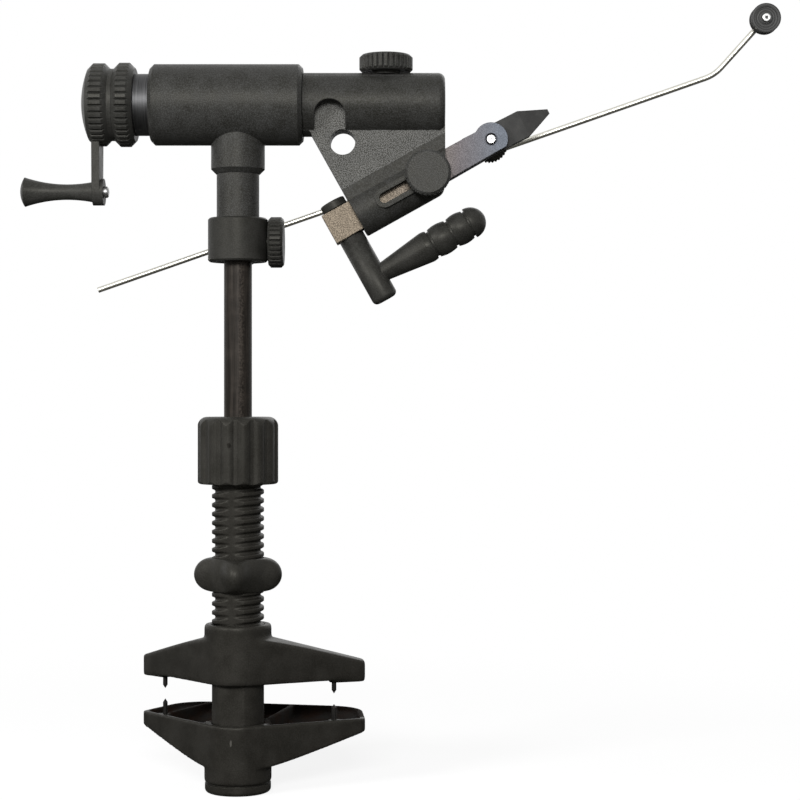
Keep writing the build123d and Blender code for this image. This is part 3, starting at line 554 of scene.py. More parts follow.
@dataclass(frozen=True)
class BlackenedSteel:
    """Oiled black steel: long faint streaks along the rod, small brown blotches and, at a given X
    place, a painted highlight streak.
    """

    name: str
    dark: Colour = (0.012, 0.0095, 0.0072)
    pale: Colour = (0.056, 0.046, 0.038)
    along: Vector = (1.0, 1.0, 0.03)
    roughness: float = 0.34
    metallic: float = 0.35
    # X place of a painted highlight: a lighter stripe along the rod
    polished: Optional[float] = None
    streak_size: float = 0.9 * MM
    streak_fade: Pair = (0.35, 0.8)
    streak_share: float = 0.7
    streak_dull: float = 0.16
    streak_depth: float = 0.02 * MM
    blotch_size: float = 5.0 * MM
    blotch_fade: Pair = (0.4, 0.75)
    highlight_size: float = 0.7 * MM
    highlight_fade: Pair = (0.4, 0.7)
    highlight_width: Pair = (0.2 * MM, 1.6 * MM)
    edge: float = 0.2 * MM
    gloss: float = 0.2
    relief: float = 0.6

    def material(self) -> bpy.types.Material:
        """Makes the material.

        Returns:
            The finished material.
        """
        material, graph = new_material(self.name)
        streak = graph.noise(self.streak_size, detail=4.0, at=graph.stretched(self.along), rough=0.6)
        blotch = graph.noise(self.blotch_size, detail=3.0).step(*self.blotch_fade)
        normal = graph.edges(self.edge)
        tone = streak.step(*self.streak_fade) * self.streak_share + blotch * (1.0 - self.streak_share)
        # Painted highlight: lighter tone in a stripe along the rod at one X place
        if self.polished is not None:
            off = (graph.axis("X") - self.polished).absolute()
            highlight_noise = graph.noise(self.highlight_size, detail=3.0).step(*self.highlight_fade)
            tone = tone + (1.0 - off.step(*self.highlight_width)) * highlight_noise
        graph.surface({
            "Base Color": graph.blend(tone, self.dark, self.pale),
            "Metallic": self.metallic,
            "Roughness": self.roughness + self.streak_dull * streak,
            "Specular IOR Level": self.gloss,
            "Normal": graph.relief(streak, self.streak_depth, normal, self.relief),
        })
        return material


@dataclass(frozen=True)
class TurnedSteel:
    """Turned metal: fine rings about one axis and a few brighter tool marks."""

    name: str
    dark: Colour = (0.035, 0.035, 0.036)
    pale: Colour = (0.13, 0.13, 0.132)
    across: Vector = (1.0, 0.02, 0.02)
    roughness: float = 0.36
    ring_size: float = 0.35 * MM
    ring_fade: Pair = (0.3, 0.75)
    ring_share: float = 0.7
    ring_dull: float = 0.2
    ring_depth: float = 0.02 * MM
    cloud_size: float = 4.0 * MM
    edge: float = 0.2 * MM
    relief: float = 0.7

    def material(self) -> bpy.types.Material:
        """Makes the material.

        Returns:
            The finished material.
        """
        material, graph = new_material(self.name)
        ring = graph.noise(self.ring_size, detail=4.0, at=graph.stretched(self.across), rough=0.7)
        cloud = graph.noise(self.cloud_size, detail=3.0)
        tone = ring.step(*self.ring_fade) * self.ring_share + cloud * (1.0 - self.ring_share)
        graph.surface({
            "Base Color": graph.blend(tone, self.dark, self.pale),
            "Metallic": 1.0,
            "Roughness": self.roughness + self.ring_dull * ring,
            "Normal": graph.relief(ring, self.ring_depth, graph.edges(self.edge), self.relief),
        })
        return material


@dataclass(frozen=True)
class MottledSteel:
    """Tumbled strip steel: fine grain whose tint goes from beige over mauve to bluish."""

    name: str
    tints: tuple[Colour, ...] = (
        (0.107, 0.089, 0.068), (0.088, 0.075, 0.062), (0.068, 0.062, 0.064), (0.067, 0.074, 0.086)
    )
    places: tuple[float, ...] = (0.0, 0.45, 0.7, 1.0)
    change: Pair = (44.0 * MM, 94.0 * MM)
    roughness: float = 0.36
    grain_size: float = 0.42 * MM
    grain_fade: Pair = (0.40, 0.62)
    grain_share: float = 0.85
    grain_depth: float = 0.03 * MM
    smoother: float = 0.6
    smoother_fade: Pair = (0.35, 0.85)
    cloud_size: float = 2.6 * MM
    cloud_fade: Pair = (0.3, 0.75)
    cloud_share: float = 0.14
    cloud_dull: float = 0.18
    shade: float = 0.93
    edge: float = 0.22 * MM
    relief: float = 0.6

    def material(self) -> bpy.types.Material:
        """Makes the material; the tint changes along X between two places.

        Returns:
            The finished material.
        """
        material, graph = new_material(self.name)
        grain = graph.noise(self.grain_size, rough=0.6)
        cloud = graph.noise(self.cloud_size, detail=3.0, rough=0.6)
        start, end = self.change
        along = (graph.axis("X") - start) / (end - start)
        stops = tuple(zip(self.places, self.tints))
        tint = graph.add("ShaderNodeValToRGB", {"stops": stops}, {"Fac": along}, "Color")
        rough_share = 1.0 - self.smoother * along.step(*self.smoother_fade)
        speckle = (grain.step(*self.grain_fade) - 0.5) * self.grain_share
        clouded = cloud.step(*self.cloud_fade) * self.cloud_share
        shade = self.shade + speckle * rough_share + clouded
        graph.surface({
            "Base Color": graph.add(
                "ShaderNodeVectorMath", {"operation": "SCALE"}, {0: tint, "Scale": shade}, "Vector"
            ),
            "Metallic": 1.0,
            "Roughness": self.roughness + self.cloud_dull * cloud,
            "Normal": graph.relief(grain, self.grain_depth, graph.edges(self.edge), self.relief),
        })
        return material


@dataclass(frozen=True)
class BrightWire:
    """Drawn wire, polished: faint die lines along it and a little smear."""

    name: str
    dark: Colour = (0.58, 0.565, 0.49)
    pale: Colour = (0.92, 0.91, 0.84)
    slope: float = math.radians(19.25)
    along: Vector = (0.02, 1.0, 1.0)
    roughness: float = 0.27
    line_size: float = 0.25 * MM
    line_share: float = 0.6
    line_depth: float = 0.01 * MM
    smear_size: float = 6.0 * MM
    smear_dull: float = 0.12
    gloss_tint: Colour = (0.20, 0.20, 0.18)
    edge: float = 0.15 * MM
    relief: float = 0.5

    def material(self) -> bpy.types.Material:
        """Makes the material; the lines run along the wire's slope in XZ.

        Returns:
            The finished material.
        """
        material, graph = new_material(self.name)
        drawn = graph.stretched(self.along, (0.0, self.slope, 0.0))
        lines = graph.noise(self.line_size, detail=3.0, at=drawn)
        smear = graph.noise(self.smear_size, detail=3.0)
        tone = lines * self.line_share + smear * (1.0 - self.line_share)
        graph.surface({
            "Base Color": graph.blend(tone, self.dark, self.pale),
            "Metallic": 1.0,
            "Roughness": self.roughness + self.smear_dull * smear,
            "Specular Tint": self.gloss_tint,
            "Normal": graph.relief(lines, self.line_depth, graph.edges(self.edge), self.relief),
        })
        return material


@dataclass(frozen=True)
class BrightHead:
    """A bright fastener head with painted shade: a dark dot for the recess in its middle and a dark
    ring at its rim.
    """

    name: str
    centre: Pair
    axes: tuple[str, str] = ("X", "Z")
    dot: float = 0.55 * MM
    rim: float = 3.0 * MM
    # Painted shade in the middle recess and round the rim
    dark: Colour = (0.05, 0.05, 0.05)
    dull: Colour = (0.34, 0.34, 0.335)
    pale: Colour = (0.56, 0.56, 0.55)
    roughness: float = 0.26
    dot_shares: Pair = (0.85, 1.1)
    rim_share: float = 0.92
    mark_size: float = 0.3 * MM
    mark_fade: Pair = (0.3, 0.75)
    mark_dull: float = 0.2
    edge: float = 0.15 * MM
    depth: float = 0.15 * MM
    relief: float = 0.8

    def material(self) -> bpy.types.Material:
        """Makes the material; the distance from the centre draws the painted-shade dot and rim ring.

        Returns:
            The finished material.
        """
        material, graph = new_material(self.name)
        away = graph.away(self.axes, self.centre)
        inner, outer = self.dot_shares
        # Painted shade: dark in the middle recess and in a ring at the rim
        recess_shade = 1.0 - away.step(self.dot * inner, self.dot * outer)
        recess_shade = recess_shade.highest(away.step(self.rim * self.rim_share, self.rim))
        marks = graph.noise(self.mark_size, detail=3.0)
        bright = graph.blend(marks.step(*self.mark_fade), self.dull, self.pale)
        graph.surface({
            "Base Color": graph.blend(recess_shade, bright, self.dark),
            "Metallic": 1.0,
            "Roughness": self.roughness + self.mark_dull * marks,
            "Normal": graph.relief(1.0 - recess_shade, self.depth, graph.edges(self.edge), self.relief),
        })
        return material


@dataclass(frozen=True)
class RingedPlastic:
    """Smooth black plastic turned with fine rings about the wheel's axle."""

    name: str
    centre: Pair
    pitch: float = 0.9 * MM
    dark: Colour = (0.018, 0.018, 0.017)
    pale: Colour = (0.130, 0.130, 0.128)
    roughness: float = 0.36
    ring_share: float = 0.55
    ring_depth: float = 0.12 * MM
    speck_size: float = 0.4 * MM
    speck_share: float = 0.4
    speck_dull: float = 0.15
    gloss: float = 0.16
    edge: float = 0.2 * MM
    relief: float = 0.7

    def material(self) -> bpy.types.Material:
        """Makes the material; a sine of the distance from the axle gives the rings.

        Returns:
            The finished material.
        """
        material, graph = new_material(self.name)
        away = graph.away(("X", "Z"), self.centre)
        wave = (away * (2.0 * math.pi / self.pitch)).sine() * 0.5 + 0.5
        speck = graph.noise(self.speck_size, detail=3.0)
        tone = wave * self.ring_share + speck * self.speck_share
        graph.surface({
            "Base Color": graph.blend(tone, self.dark, self.pale),
            "Roughness": self.roughness + self.speck_dull * speck,
            "Specular IOR Level": self.gloss,
            "Normal": graph.relief(wave, self.ring_depth, graph.edges(self.edge), self.relief),
        })
        return material


def link_new(name: str, data: bpy.types.ID) -> bpy.types.Object:
    """Puts a mesh, a lamp or a camera into the scene.

    Args:
        name: The new object's name.
        data: What it shows.

    Returns:
        The new object.
    """
    piece = bpy.data.objects.new(name, data)
    bpy.context.scene.collection.objects.link(piece)
    return piece


def grid_mesh(name: str, points: np.ndarray, closed: tuple[bool, bool]) -> bpy.types.Object:
    """A mesh of quads over a grid of points, each from a point to its next column and next row.

    Args:
        name: The piece's name.
        points: Array of rows, columns and XYZ.
        closed: Whether the rows and the columns join up at their ends.

    Returns:
        The new object, linked to the scene.
    """
    rows, columns = points.shape[:2]
    r = np.arange(rows if closed[0] else rows - 1)
    c = np.arange(columns if closed[1] else columns - 1)
    r0, c0 = (a.ravel() for a in np.meshgrid(r, c, indexing="ij"))
    r1, c1 = (r0 + 1) % rows, (c0 + 1) % columns
    quads = np.stack([r0 * columns + c0, r0 * columns + c1, r1 * columns + c1, r1 * columns + c0], 1)
    mesh = bpy.data.meshes.new(name)
    mesh.vertices.add(rows * columns)
    mesh.vertices.foreach_set("co", points.reshape(-1).astype(np.float32))
    mesh.loops.add(quads.size)
    mesh.loops.foreach_set("vertex_index", quads.reshape(-1).astype(np.int32))
    mesh.polygons.add(len(quads))
    mesh.polygons.foreach_set("loop_start", np.arange(0, quads.size, 4, dtype=np.int32))
    mesh.polygons.foreach_set("use_smooth", np.ones(len(quads), dtype=bool))
    mesh.update(calc_edges=True)
    mesh.validate()
    return link_new(name, mesh)


@dataclass(frozen=True)
class Spindle:
    """An axis to turn round pieces about: a place on it, its direction and where angle 0 points."""

    origin: Vector
    along: Vector
    first: Vector

    def points(self, radius: np.ndarray, angle: np.ndarray, height: np.ndarray) -> np.ndarray:
        """Points at a radius and an angle about the axis, at a height along it.

        Each is the origin plus radius x (cosine x first + sine x second) plus height x along,
        where second is at right angles to both directions.

        Args:
            radius: Distances from the axis.
            angle: Angles about it, in radians.
            height: Places along it.

        Returns:
            The points, with XYZ as the last index.
        """
        radius, angle, height = (a[..., None] for a in np.broadcast_arrays(radius, angle, height))
        along, first = np.array(self.along), np.array(self.first)
        outward = np.cos(angle) * first + np.sin(angle) * np.cross(along, first)
        return np.array(self.origin) + radius * outward + height * along


UPRIGHT = Spindle(ORIGIN, (0.0, 0.0, 1.0), (1.0, 0.0, 0.0))


def around(count: int) -> np.ndarray:
    """Evenly spread angles of one turn, as a column."""
    return np.linspace(0.0, 2.0 * np.pi, count, endpoint=False)[:, None]


def bored_mesh(
    name: str, spindle: Spindle, height: np.ndarray, outer: np.ndarray, bore: float
) -> bpy.types.Object:
    """A ring-shaped piece: its outside, then its bore, as one closed grid.

    Args:
        name: The piece's name.
        spindle: Its axis.
        height: Places along the axis, from low to high.
        outer: Outside radii, a row for each angle and a column for each height.
        bore: The radius of the bore.

    Returns:
        The new object.
    """
    radius = np.concatenate([outer, np.full((len(outer), 2), bore)], axis=1)
    levels = np.concatenate([height, height[[-1, 0]]])
    points = spindle.points(radius, around(len(outer)), levels)
    return grid_mesh(name, points[:, ::-1], (True, True))


def solid_mesh(name: str, shells: Sequence[np.ndarray], crease: float) -> bpy.types.Object:
    """A piece of one or more round solids.

    Quads join each point to the next angle and the next height. Each end is closed by a fan
    of triangles about the mean of its ring.

    Args:
        name: The piece's name.
        shells: For each solid an array of angles, heights and XYZ.
        crease: The angle above which an edge looks sharp, in radians.

    Returns:
        The new object, linked to the scene.
    """
    corners: list[np.ndarray] = []
    faces: list[list[int]] = []
    start = 0
    for shell in shells:
        columns, rows = shell.shape[:2]
        here = start + np.arange(columns * rows).reshape(columns, rows)
        there = np.roll(here, -1, axis=0)
        low, high = start + columns * rows, start + columns * rows + 1
        quads = np.stack([here[:, :-1], there[:, :-1], there[:, 1:], here[:, 1:]], axis=2)
        bottom = np.stack([np.full(columns, low), there[:, 0], here[:, 0]], axis=1)
        top = np.stack([np.full(columns, high), here[:, -1], there[:, -1]], axis=1)
        corners += [shell.reshape(-1, 3), shell[:, [0, -1]].mean(axis=0)]
        faces += quads.reshape(-1, 4).tolist() + bottom.tolist() + top.tolist()
        start += columns * rows + 2
    mesh = bpy.data.meshes.new(name)
    mesh.from_pydata(np.concatenate(corners).tolist(), [], faces)
    mesh.polygons.foreach_set("use_smooth", np.ones(len(faces), dtype=bool))
    mesh.set_sharp_from_angle(angle=crease)
    mesh.update(calc_edges=True)
    return link_new(name, mesh)


def stand_in(piece: bpy.types.Object, body: str, node: str, material: bpy.types.Material) -> None:
    """Puts a new piece in the place of a CAD node.

    Args:
        piece: The new piece.
        body: The body it moves with.
        node: The node that it stands for.
        material: Its finish.
    """
    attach(piece, body)
    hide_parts(node)
    piece.data.materials.append(material)
    log.info("%s for %s: %s", piece.name, node, material.name)


def dress(node: str, material: bpy.types.Material) -> None:
    """Gives a CAD node its finish.

    Args:
        node: The node's name.
        material: Its finish.
    """
    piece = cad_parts[node]
    piece.data.materials.clear()
    piece.data.materials.append(material)
    log.info("%s: %s", node, material.name)


def round_edges(node: str, grid: float, passes: int) -> None:
    """Rounds the edges of a moulded CAD node's look; its solid stays as it is.

    Args:
        node: The node's name.
        grid: The cell width of the even mesh that is smoothed.
        passes: How often it is smoothed; the rounding grows with their root.
    """
    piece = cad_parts[node]
    weld = piece.modifiers.new("weld", "WELD")
    weld.merge_threshold = WELD_REACH
    even = piece.modifiers.new("even", "REMESH")
    even.mode = "VOXEL"
    even.voxel_size = grid
    even.use_smooth_shade = True
    smooth = piece.modifiers.new("round", "SMOOTH")
    smooth.factor = SMOOTH_FACTOR
    smooth.iterations = passes
    log.info("%s: edges rounded in %d passes", node, passes)


def dress_all(nodes: Sequence[str], material: bpy.types.Material) -> None:
    """Gives several CAD nodes one finish.

    Args:
        nodes: The nodes' names.
        material: Their finish.
    """
    for node in nodes:
        dress(node, material)


@dataclass
class Clamp:
    """The table clamp: two hollow jaws on a threaded tube, and two hand nuts."""

    yaw: float = math.radians(-12.3)
    bottom: float = 3.3 * MM
    top: float = 118.0 * MM
    crest: float = 9.3 * MM
    root: float = 8.15 * MM
    pitch: float = 3.2 * MM
    flank: float = 5.0
    crest_level: float = 1.9
    bore: float = 5.06 * MM
    half_flat: float = 8.13 * MM
    plain: Pair = (25.0 * MM, 39.5 * MM)
    jaw_grid: float = 0.5 * MM
    lower_passes: int = 5
    upper_passes: int = 16
    jaw_front: float = -9.0 * MM
    jaw_lean: float = 0.72
    lower_rim: float = 33.9 * MM
    nut_middle: float = 77.65 * MM
    nut_half: float = 5.95 * MM
    nut_reach: float = 15.75 * MM
    nut_waist: float = 10.9 * MM
    nut_crown: float = 9.6 * MM
    nut_bore: float = 9.4 * MM
    lobes: int = 4
    lobe_power: float = 2.0
    tube_angles: int = 168
    tube_levels: int = 430
    nut_angles: int = 192
    nut_levels: int = 41
    plastic: MouldedPlastic = MouldedPlastic(
        "clamp plastic", (0.016, 0.0149, 0.0125), (0.046, 0.0435, 0.0385), Grain.SATIN, roughness=0.42
    )
    nut_plastic: MouldedPlastic = MouldedPlastic(
        "nut plastic", (0.019, 0.0180, 0.0152), (0.058, 0.0555, 0.0500), Grain.SATIN, roughness=0.38
    )
    spike_steel: BlackenedSteel = BlackenedSteel(
        "spike steel", (0.008, 0.0075, 0.007), (0.05, 0.046, 0.042)
    )
    # Brown stain inside the lower jaw; the hollow darkens it further as painted shade
    hollow_stain_and_shade: Colour = (0.016, 0.0075, 0.0045)
    gate: Mark = Mark(
        at=(-1.6 * MM, 19.0 * MM), half=(0.45 * MM, 1.4 * MM), colour=(0.10, 0.095, 0.085)
    )
    # Painted shade of a small pit on the cap nut: a near-black oval
    pit_shade: Mark = Mark(
        at=(-2.05 * MM, 124.0 * MM), half=(0.9 * MM, 1.1 * MM), colour=(0.006, 0.005, 0.004)
    )

    def thread_radius(self, angle: np.ndarray, height: np.ndarray) -> np.ndarray:
        """The tube's outside radius.

        A trapezoid wave of the height, eased at its corners and moved by one pitch per turn,
        gives crests and roots; it fades out over one pitch towards the plain length. Two flats
        cut it where the radius times the sine of the angle would pass them.

        Args:
            angle: Angle about the tube, in radians.
            height: Height along the tube.

        Returns:
            The radius at each point.
        """
        phase = (height / self.pitch - angle / (2.0 * np.pi)) % 1.0
        wave = np.clip(self.crest_level - np.abs(phase - 0.5) * self.flank, 0.0, 1.0)
        wave = wave * wave * (3.0 - 2.0 * wave)
        beyond = np.maximum(self.plain[0] - height, height - self.plain[1]) / self.pitch
        cut = np.clip(beyond, 0.0, 1.0)
        radius = self.crest - (self.crest - self.root) * (1.0 - wave) * cut
        across = np.maximum(np.abs(np.sin(angle - self.yaw)), np.finfo(float).eps)
        return np.minimum(radius, self.half_flat / across)

    def tube(self) -> bpy.types.Object:
        """The threaded tube.

        Returns:
            The new piece.
        """
        height = np.linspace(self.bottom, self.top, self.tube_levels)
        outer = self.thread_radius(around(self.tube_angles), height[None, :])
        return bored_mesh("threaded_tube", UPRIGHT, height, outer, self.bore)

    def nut(self) -> bpy.types.Object:
        """The hand nut: four round lobes, with the bulge of a half ellipse from face to face.

        The lobes are a power of a cosine wave of four turns. The bulge is the root of one less
        the squared height, counted from the middle in half heights.

        Returns:
            The new piece.
        """
        turn = np.linspace(-0.5 * np.pi, 0.5 * np.pi, self.nut_levels)
        height = self.nut_middle + self.nut_half * np.sin(turn)
        wave = (0.5 + 0.5 * np.cos(self.lobes * around(self.nut_angles))) ** self.lobe_power
        reach = self.nut_waist + (self.nut_reach - self.nut_waist) * wave
        outer = self.nut_crown + (reach - self.nut_crown) * np.cos(turn)[None, :]
        return bored_mesh("lobed_nut", UPRIGHT, height, outer, self.nut_bore)

    def dress(self) -> None:
        """Pieces and finishes of the clamp."""
        smooth = self.plastic.material()
        nut = self.nut_plastic.material()
        dress_all(["foot_cap", "upper_jaw", "clamp_tube", "collet"], smooth)
        stand_in(self.tube(), "clamp_base", "clamp_tube", smooth)
        dress("clamp_nut", nut)
        stand_in(self.nut(), "clamp_nut", "clamp_nut", nut)
        inside = Hollow(self.yaw, self.jaw_front, self.jaw_lean, self.lower_rim, self.hollow_stain_and_shade)
        lower = replace(self.plastic, name="lower jaw plastic", mark=self.gate, hollow=inside)
        dress("lower_jaw", lower.material())
        round_edges("lower_jaw", self.jaw_grid, self.lower_passes)
        round_edges("upper_jaw", self.jaw_grid, self.upper_passes)
        cap = replace(self.nut_plastic, name="cap nut plastic", mark=self.pit_shade)
        dress("collet_nut", cap.material())
        dress_all(["lower_spikes", "upper_spikes"], self.spike_steel.material())


@dataclass
class Stem:
    """The rod with its sleeve and the barrel of the head."""

    # X place of the painted highlight streak on the stem rod
    painted_highlight_x: float = 1.6 * MM

    def dress(self) -> None:
        """Finishes of the stem and the head."""
        grainy = MouldedPlastic("head plastic").material()
        dress_all(["stem_sleeve", "head_body"], grainy)
        dress("stem_rod", BlackenedSteel("stem steel", polished=self.painted_highlight_x).material())
        bush = TurnedSteel("bush steel").material()
        dress_all(["rear_bush", "front_bush"], bush)


@dataclass
class ThreadRest:
    """The collar with its knobs, the bent wire and the wheel."""

    wheel: Pair = (190.62 * MM, 278.42 * MM)
    collar_plastic: MouldedPlastic = MouldedPlastic(
        "collar plastic", (0.020, 0.0195, 0.0170), (0.062, 0.061, 0.057), Grain.SATIN
    )
    bolt_steel: TurnedSteel = TurnedSteel("bolt steel", across=(0.05, 1.0, 0.05))

    def dress(self) -> None:
        """Finishes of the thread rest."""
        dress_all(["rest_collar", "collar_screw", "wire_clamp_knob"], self.collar_plastic.material())
        dress("wire_clamp_bolt", self.bolt_steel.material())
        dress("rest_wire", BrightWire("wire steel").material())
        dress("rest_wheel", RingedPlastic("wheel plastic", self.wheel).material())
        dress("wheel_rivet", BrightHead("rivet steel", self.wheel).material())


@dataclass
class Rotor:
    """The shaft with the crank, and the holder of the jaws."""

    handle: float = 214.4 * MM
    screw_dot: float = 0.8 * MM
    crank_plastic: MouldedPlastic = MouldedPlastic(
        "crank plastic", (0.026, 0.0255, 0.0225), (0.090, 0.089, 0.084), Grain.SATIN, roughness=0.40
    )
    holder_plastic: MouldedPlastic = MouldedPlastic(
        "holder plastic", (0.020, 0.0195, 0.0165), (0.066, 0.066, 0.064),
        wall=Wall(depth=5.8 * MM, pin=BAR_PIN, slope=BAR_SLOPE, above=9.9 * MM),
    )
    shaft_steel: BlackenedSteel = BlackenedSteel("shaft steel", along=(0.03, 1.0, 1.0))

    def dress(self) -> None:
        """Finishes of the rotor."""
        dress_all(["drag_ring", "crank_disc", "crank_handle"], self.crank_plastic.material())
        dress_all(["jaw_holder", "head_screw"], self.holder_plastic.material())
        dress("main_shaft", self.shaft_steel.material())
        screw = BrightHead("screw steel", (0.0, self.handle), ("Y", "Z"), self.screw_dot)
        dress("handle_screw", screw.material())


@dataclass
class CamLever:
    """The cam on its shaft, and the turned handle that stands out from the shaft."""

    pin: Pair = BAR_PIN
    slope: float = BAR_SLOPE
    behind: float = 60.3 * MM
    cam: Pair = (1.35 * MM, 2.2 * MM)
    cam_reach: float = 5.85 * MM
    peg: Pair = (1.3 * MM, 1.9 * MM)
    shaft: float = 4.7 * MM
    shaft_end: float = 31.5 * MM
    shaft_edge: float = 1.8 * MM
    drop: float = 22.2 * MM
    dip: float = math.radians(-0.1)
    length: float = 45.3 * MM
    root: float = 2.9 * MM
    grip: float = 5.7 * MM
    bead_edge: float = 5.25 * MM
    bead: float = 5.85 * MM
    groove: float = 4.75 * MM
    groove_half: float = 0.45 * MM
    groove_shares: tuple[float, ...] = (0.535, 0.705, 0.86)
    shoulder: float = 2.2 * MM
    end_share: float = 0.02
    shaft_angles: int = 72
    edge_levels: int = 9
    handle_angles: int = 64
    handle_levels: int = 360
    end_levels: int = 32
    crease: float = math.radians(40.0)

    def place(self, along: float, off: float) -> Vector:
        """The point a length along the bars from their pin, and a length off their line."""
        cos, sin = math.cos(self.slope), math.sin(self.slope)
        return (self.pin[0] + along * cos - off * sin, 0.0, self.pin[1] + along * sin + off * cos)

    def shaft_points(self) -> np.ndarray:
        """The peg, the oval cam and the shaft with its rounded end, one after the other.

        Returns:
            The points of one closed solid.
        """
        angle = around(self.shaft_angles)
        wide, high = self.cam
        oval = wide * high / np.hypot(high * np.cos(angle), wide * np.sin(angle))
        peg_radius, peg_length = self.peg
        turn = np.linspace(0.0, 0.5 * np.pi, self.edge_levels)
        edge = self.shaft - self.shaft_edge * (1.0 - np.cos(turn))
        rounds = [np.full_like(angle, r) for r in edge]
        peg, full = np.full_like(angle, peg_radius), np.full_like(angle, self.shaft)
        radius = np.concatenate([peg, peg, oval, oval, full, *rounds], axis=1)
        reach = self.cam_reach
        levels = np.array([-reach - peg_length, -reach, -reach, reach, reach])
        levels = np.concatenate([levels, self.shaft_end - self.shaft_edge * (1.0 - np.sin(turn))])
        down = (math.sin(self.slope), 0.0, -math.cos(self.slope))
        bars = (math.cos(self.slope), 0.0, math.sin(self.slope))
        return Spindle(self.place(-self.behind, 0.0), down, bars).points(radius, angle, levels)

    def handle_radius(self, s: np.ndarray) -> np.ndarray:
        """The handle's radius at a length from the shaft.

        A straight cone ends in a shoulder, a quarter of an ellipse. Then come beads, each a
        half sine wave, between narrow grooves, and the end is half an ellipse.

        Args:
            s: Lengths along the handle.

        Returns:
            The radius at each.
        """
        grooves = np.array(self.groove_shares) * self.length
        first, last = grooves[0] - self.groove_half, grooves[-1] + self.groove_half
        cone = first - self.shoulder
        taper = self.root + (self.grip - self.root) * s / cone
        fall = np.clip((s - cone) / self.shoulder, 0.0, 1.0)
        round_off = self.bead_edge + (self.grip - self.bead_edge) * np.sqrt(1.0 - fall * fall)
        between = np.interp(s, grooves, np.arange(len(grooves)))
        beads = self.bead_edge + (self.bead - self.bead_edge) * np.abs(np.sin(np.pi * between))
        end = np.clip((s - last) / (self.length - last), 0.0, 1.0)
        ball = self.grip * np.sqrt(1.0 - end * end)
        radius = np.select([s < cone, s < first, s < last], [taper, round_off, beads], ball)
        off = np.abs(s[:, None] - grooves[None, :]).min(axis=1)
        return np.where(off < self.groove_half, self.groove, radius)

    def handle_points(self) -> np.ndarray:
        """The turned handle.

        Returns:
            The points of one closed solid.
        """
        start = (self.groove_shares[-1] + self.end_share) * self.length
        turn = np.linspace(0.0, 0.5 * np.pi, self.end_levels)[1:-1]
        s = np.linspace(0.0, start, self.handle_levels)
        s = np.concatenate([s, start + (self.length - start) * np.sin(turn)])
        aim = self.slope - self.dip
        handle = (math.cos(aim), 0.0, math.sin(aim))
        spindle = Spindle(self.place(-self.behind, -self.drop), handle, (0.0, -1.0, 0.0))
        return spindle.points(self.handle_radius(s)[None, :], around(self.handle_angles), s[None, :])

    def build(self) -> bpy.types.Object:
        """The lever as one piece."""
        return solid_mesh("turned_lever", [self.shaft_points(), self.handle_points()], self.crease)


@dataclass
class AdjustKnob:
    """The knob behind the bars: a neck and a disc with teeth round its rim."""

    pin: Pair = BAR_PIN
    depth: float = 5.15 * MM
    neck: Pair = (4.0 * MM, 1.8 * MM)
    disc: Pair = (6.7 * MM, 4.6 * MM)
    edge: float = 0.8 * MM
    teeth: int = 32
    tooth: float = 0.45 * MM
    tooth_angles: int = 8
    crease: float = math.radians(30.0)

    def build(self) -> bpy.types.Object:
        """The knob; a cosine wave round the rim gives the teeth.

        Returns:
            The new piece.
        """
        neck_radius, neck_height = self.neck
        disc_radius, disc_height = self.disc
        top = neck_height + disc_height
        angle = around(self.teeth * self.tooth_angles)
        rim = disc_radius - self.tooth * (0.5 - 0.5 * np.cos(self.teeth * angle))
        face = np.full_like(angle, disc_radius - self.edge - self.tooth)
        neck = np.full_like(angle, neck_radius)
        radius = np.concatenate([neck, neck, face, rim, rim, face], axis=1)
        low, high = neck_height + self.edge, top - self.edge
        levels = np.array([0.0, neck_height, neck_height, low, high, top])
        spindle = Spindle((self.pin[0], self.depth, self.pin[1]), (0.0, 1.0, 0.0), (1.0, 0.0, 0.0))
        return solid_mesh("toothed_knob", [spindle.points(radius, angle, levels)], self.crease)


@dataclass
class JawUnit:
    """The two bars with their jaws, knobs and cam."""

    pin: Pair = BAR_PIN
    pin_dot: float = 0.3 * MM
    pin_rim: float = 1.55 * MM
    jaw_steel: BlackenedSteel = BlackenedSteel(
        "jaw steel", (0.034, 0.0335, 0.0325), (0.066, 0.065, 0.062),
        along=(0.3, 1.0, 0.3), roughness=0.5, metallic=0.2,
    )
    knob_plastic: MouldedPlastic = MouldedPlastic(
        "knob plastic", (0.025, 0.0245, 0.0220), (0.092, 0.092, 0.089)
    )
    cam_plastic: MouldedPlastic = MouldedPlastic(
        "cam plastic", (0.020, 0.0195, 0.017), (0.072, 0.071, 0.066), Grain.SATIN, roughness=0.40
    )

    def dress(self) -> None:
        """Pieces and finishes of the jaw unit."""
        knobs = self.knob_plastic.material()
        cam = self.cam_plastic.material()
        dress_all(["front_bar", "rear_bar"], MottledSteel("bar steel").material())
        dress_all(["front_jaw", "rear_jaw"], self.jaw_steel.material())
        dress_all(["jaw_knob", "adjust_knob"], knobs)
        dress_all(["cam_lever", "cam_cap"], cam)
        stand_in(CamLever().build(), "cam_lever", "cam_lever", cam)
        stand_in(AdjustKnob().build(), "adjust_knob", "adjust_knob", knobs)
        pin = BrightHead("pin steel", self.pin, dot=self.pin_dot, rim=self.pin_rim)
        dress("jaw_screw", pin.material())


@dataclass(frozen=True)
class Lamp:
    """A soft rectangular lamp: its place, its width and height in metres, and its power in watts."""

    name: str
    at: Vector
    size: Pair
    power: float

    def build(self, aim: Vector) -> None:
        """Puts the lamp up.

        Args:
            aim: The point it faces.
        """
        data = bpy.data.lights.new(self.name, "AREA")
        data.shape = "RECTANGLE"
        data.size, data.size_y = self.size
        data.energy = self.power
        lamp = link_new(self.name, data)
        away = np.array(self.at) - np.array(aim)
        flat = math.hypot(away[0], away[1])
        lamp.location = self.at
        lamp.rotation_euler = (math.atan2(flat, away[2]), 0.0, math.atan2(away[0], -away[1]))


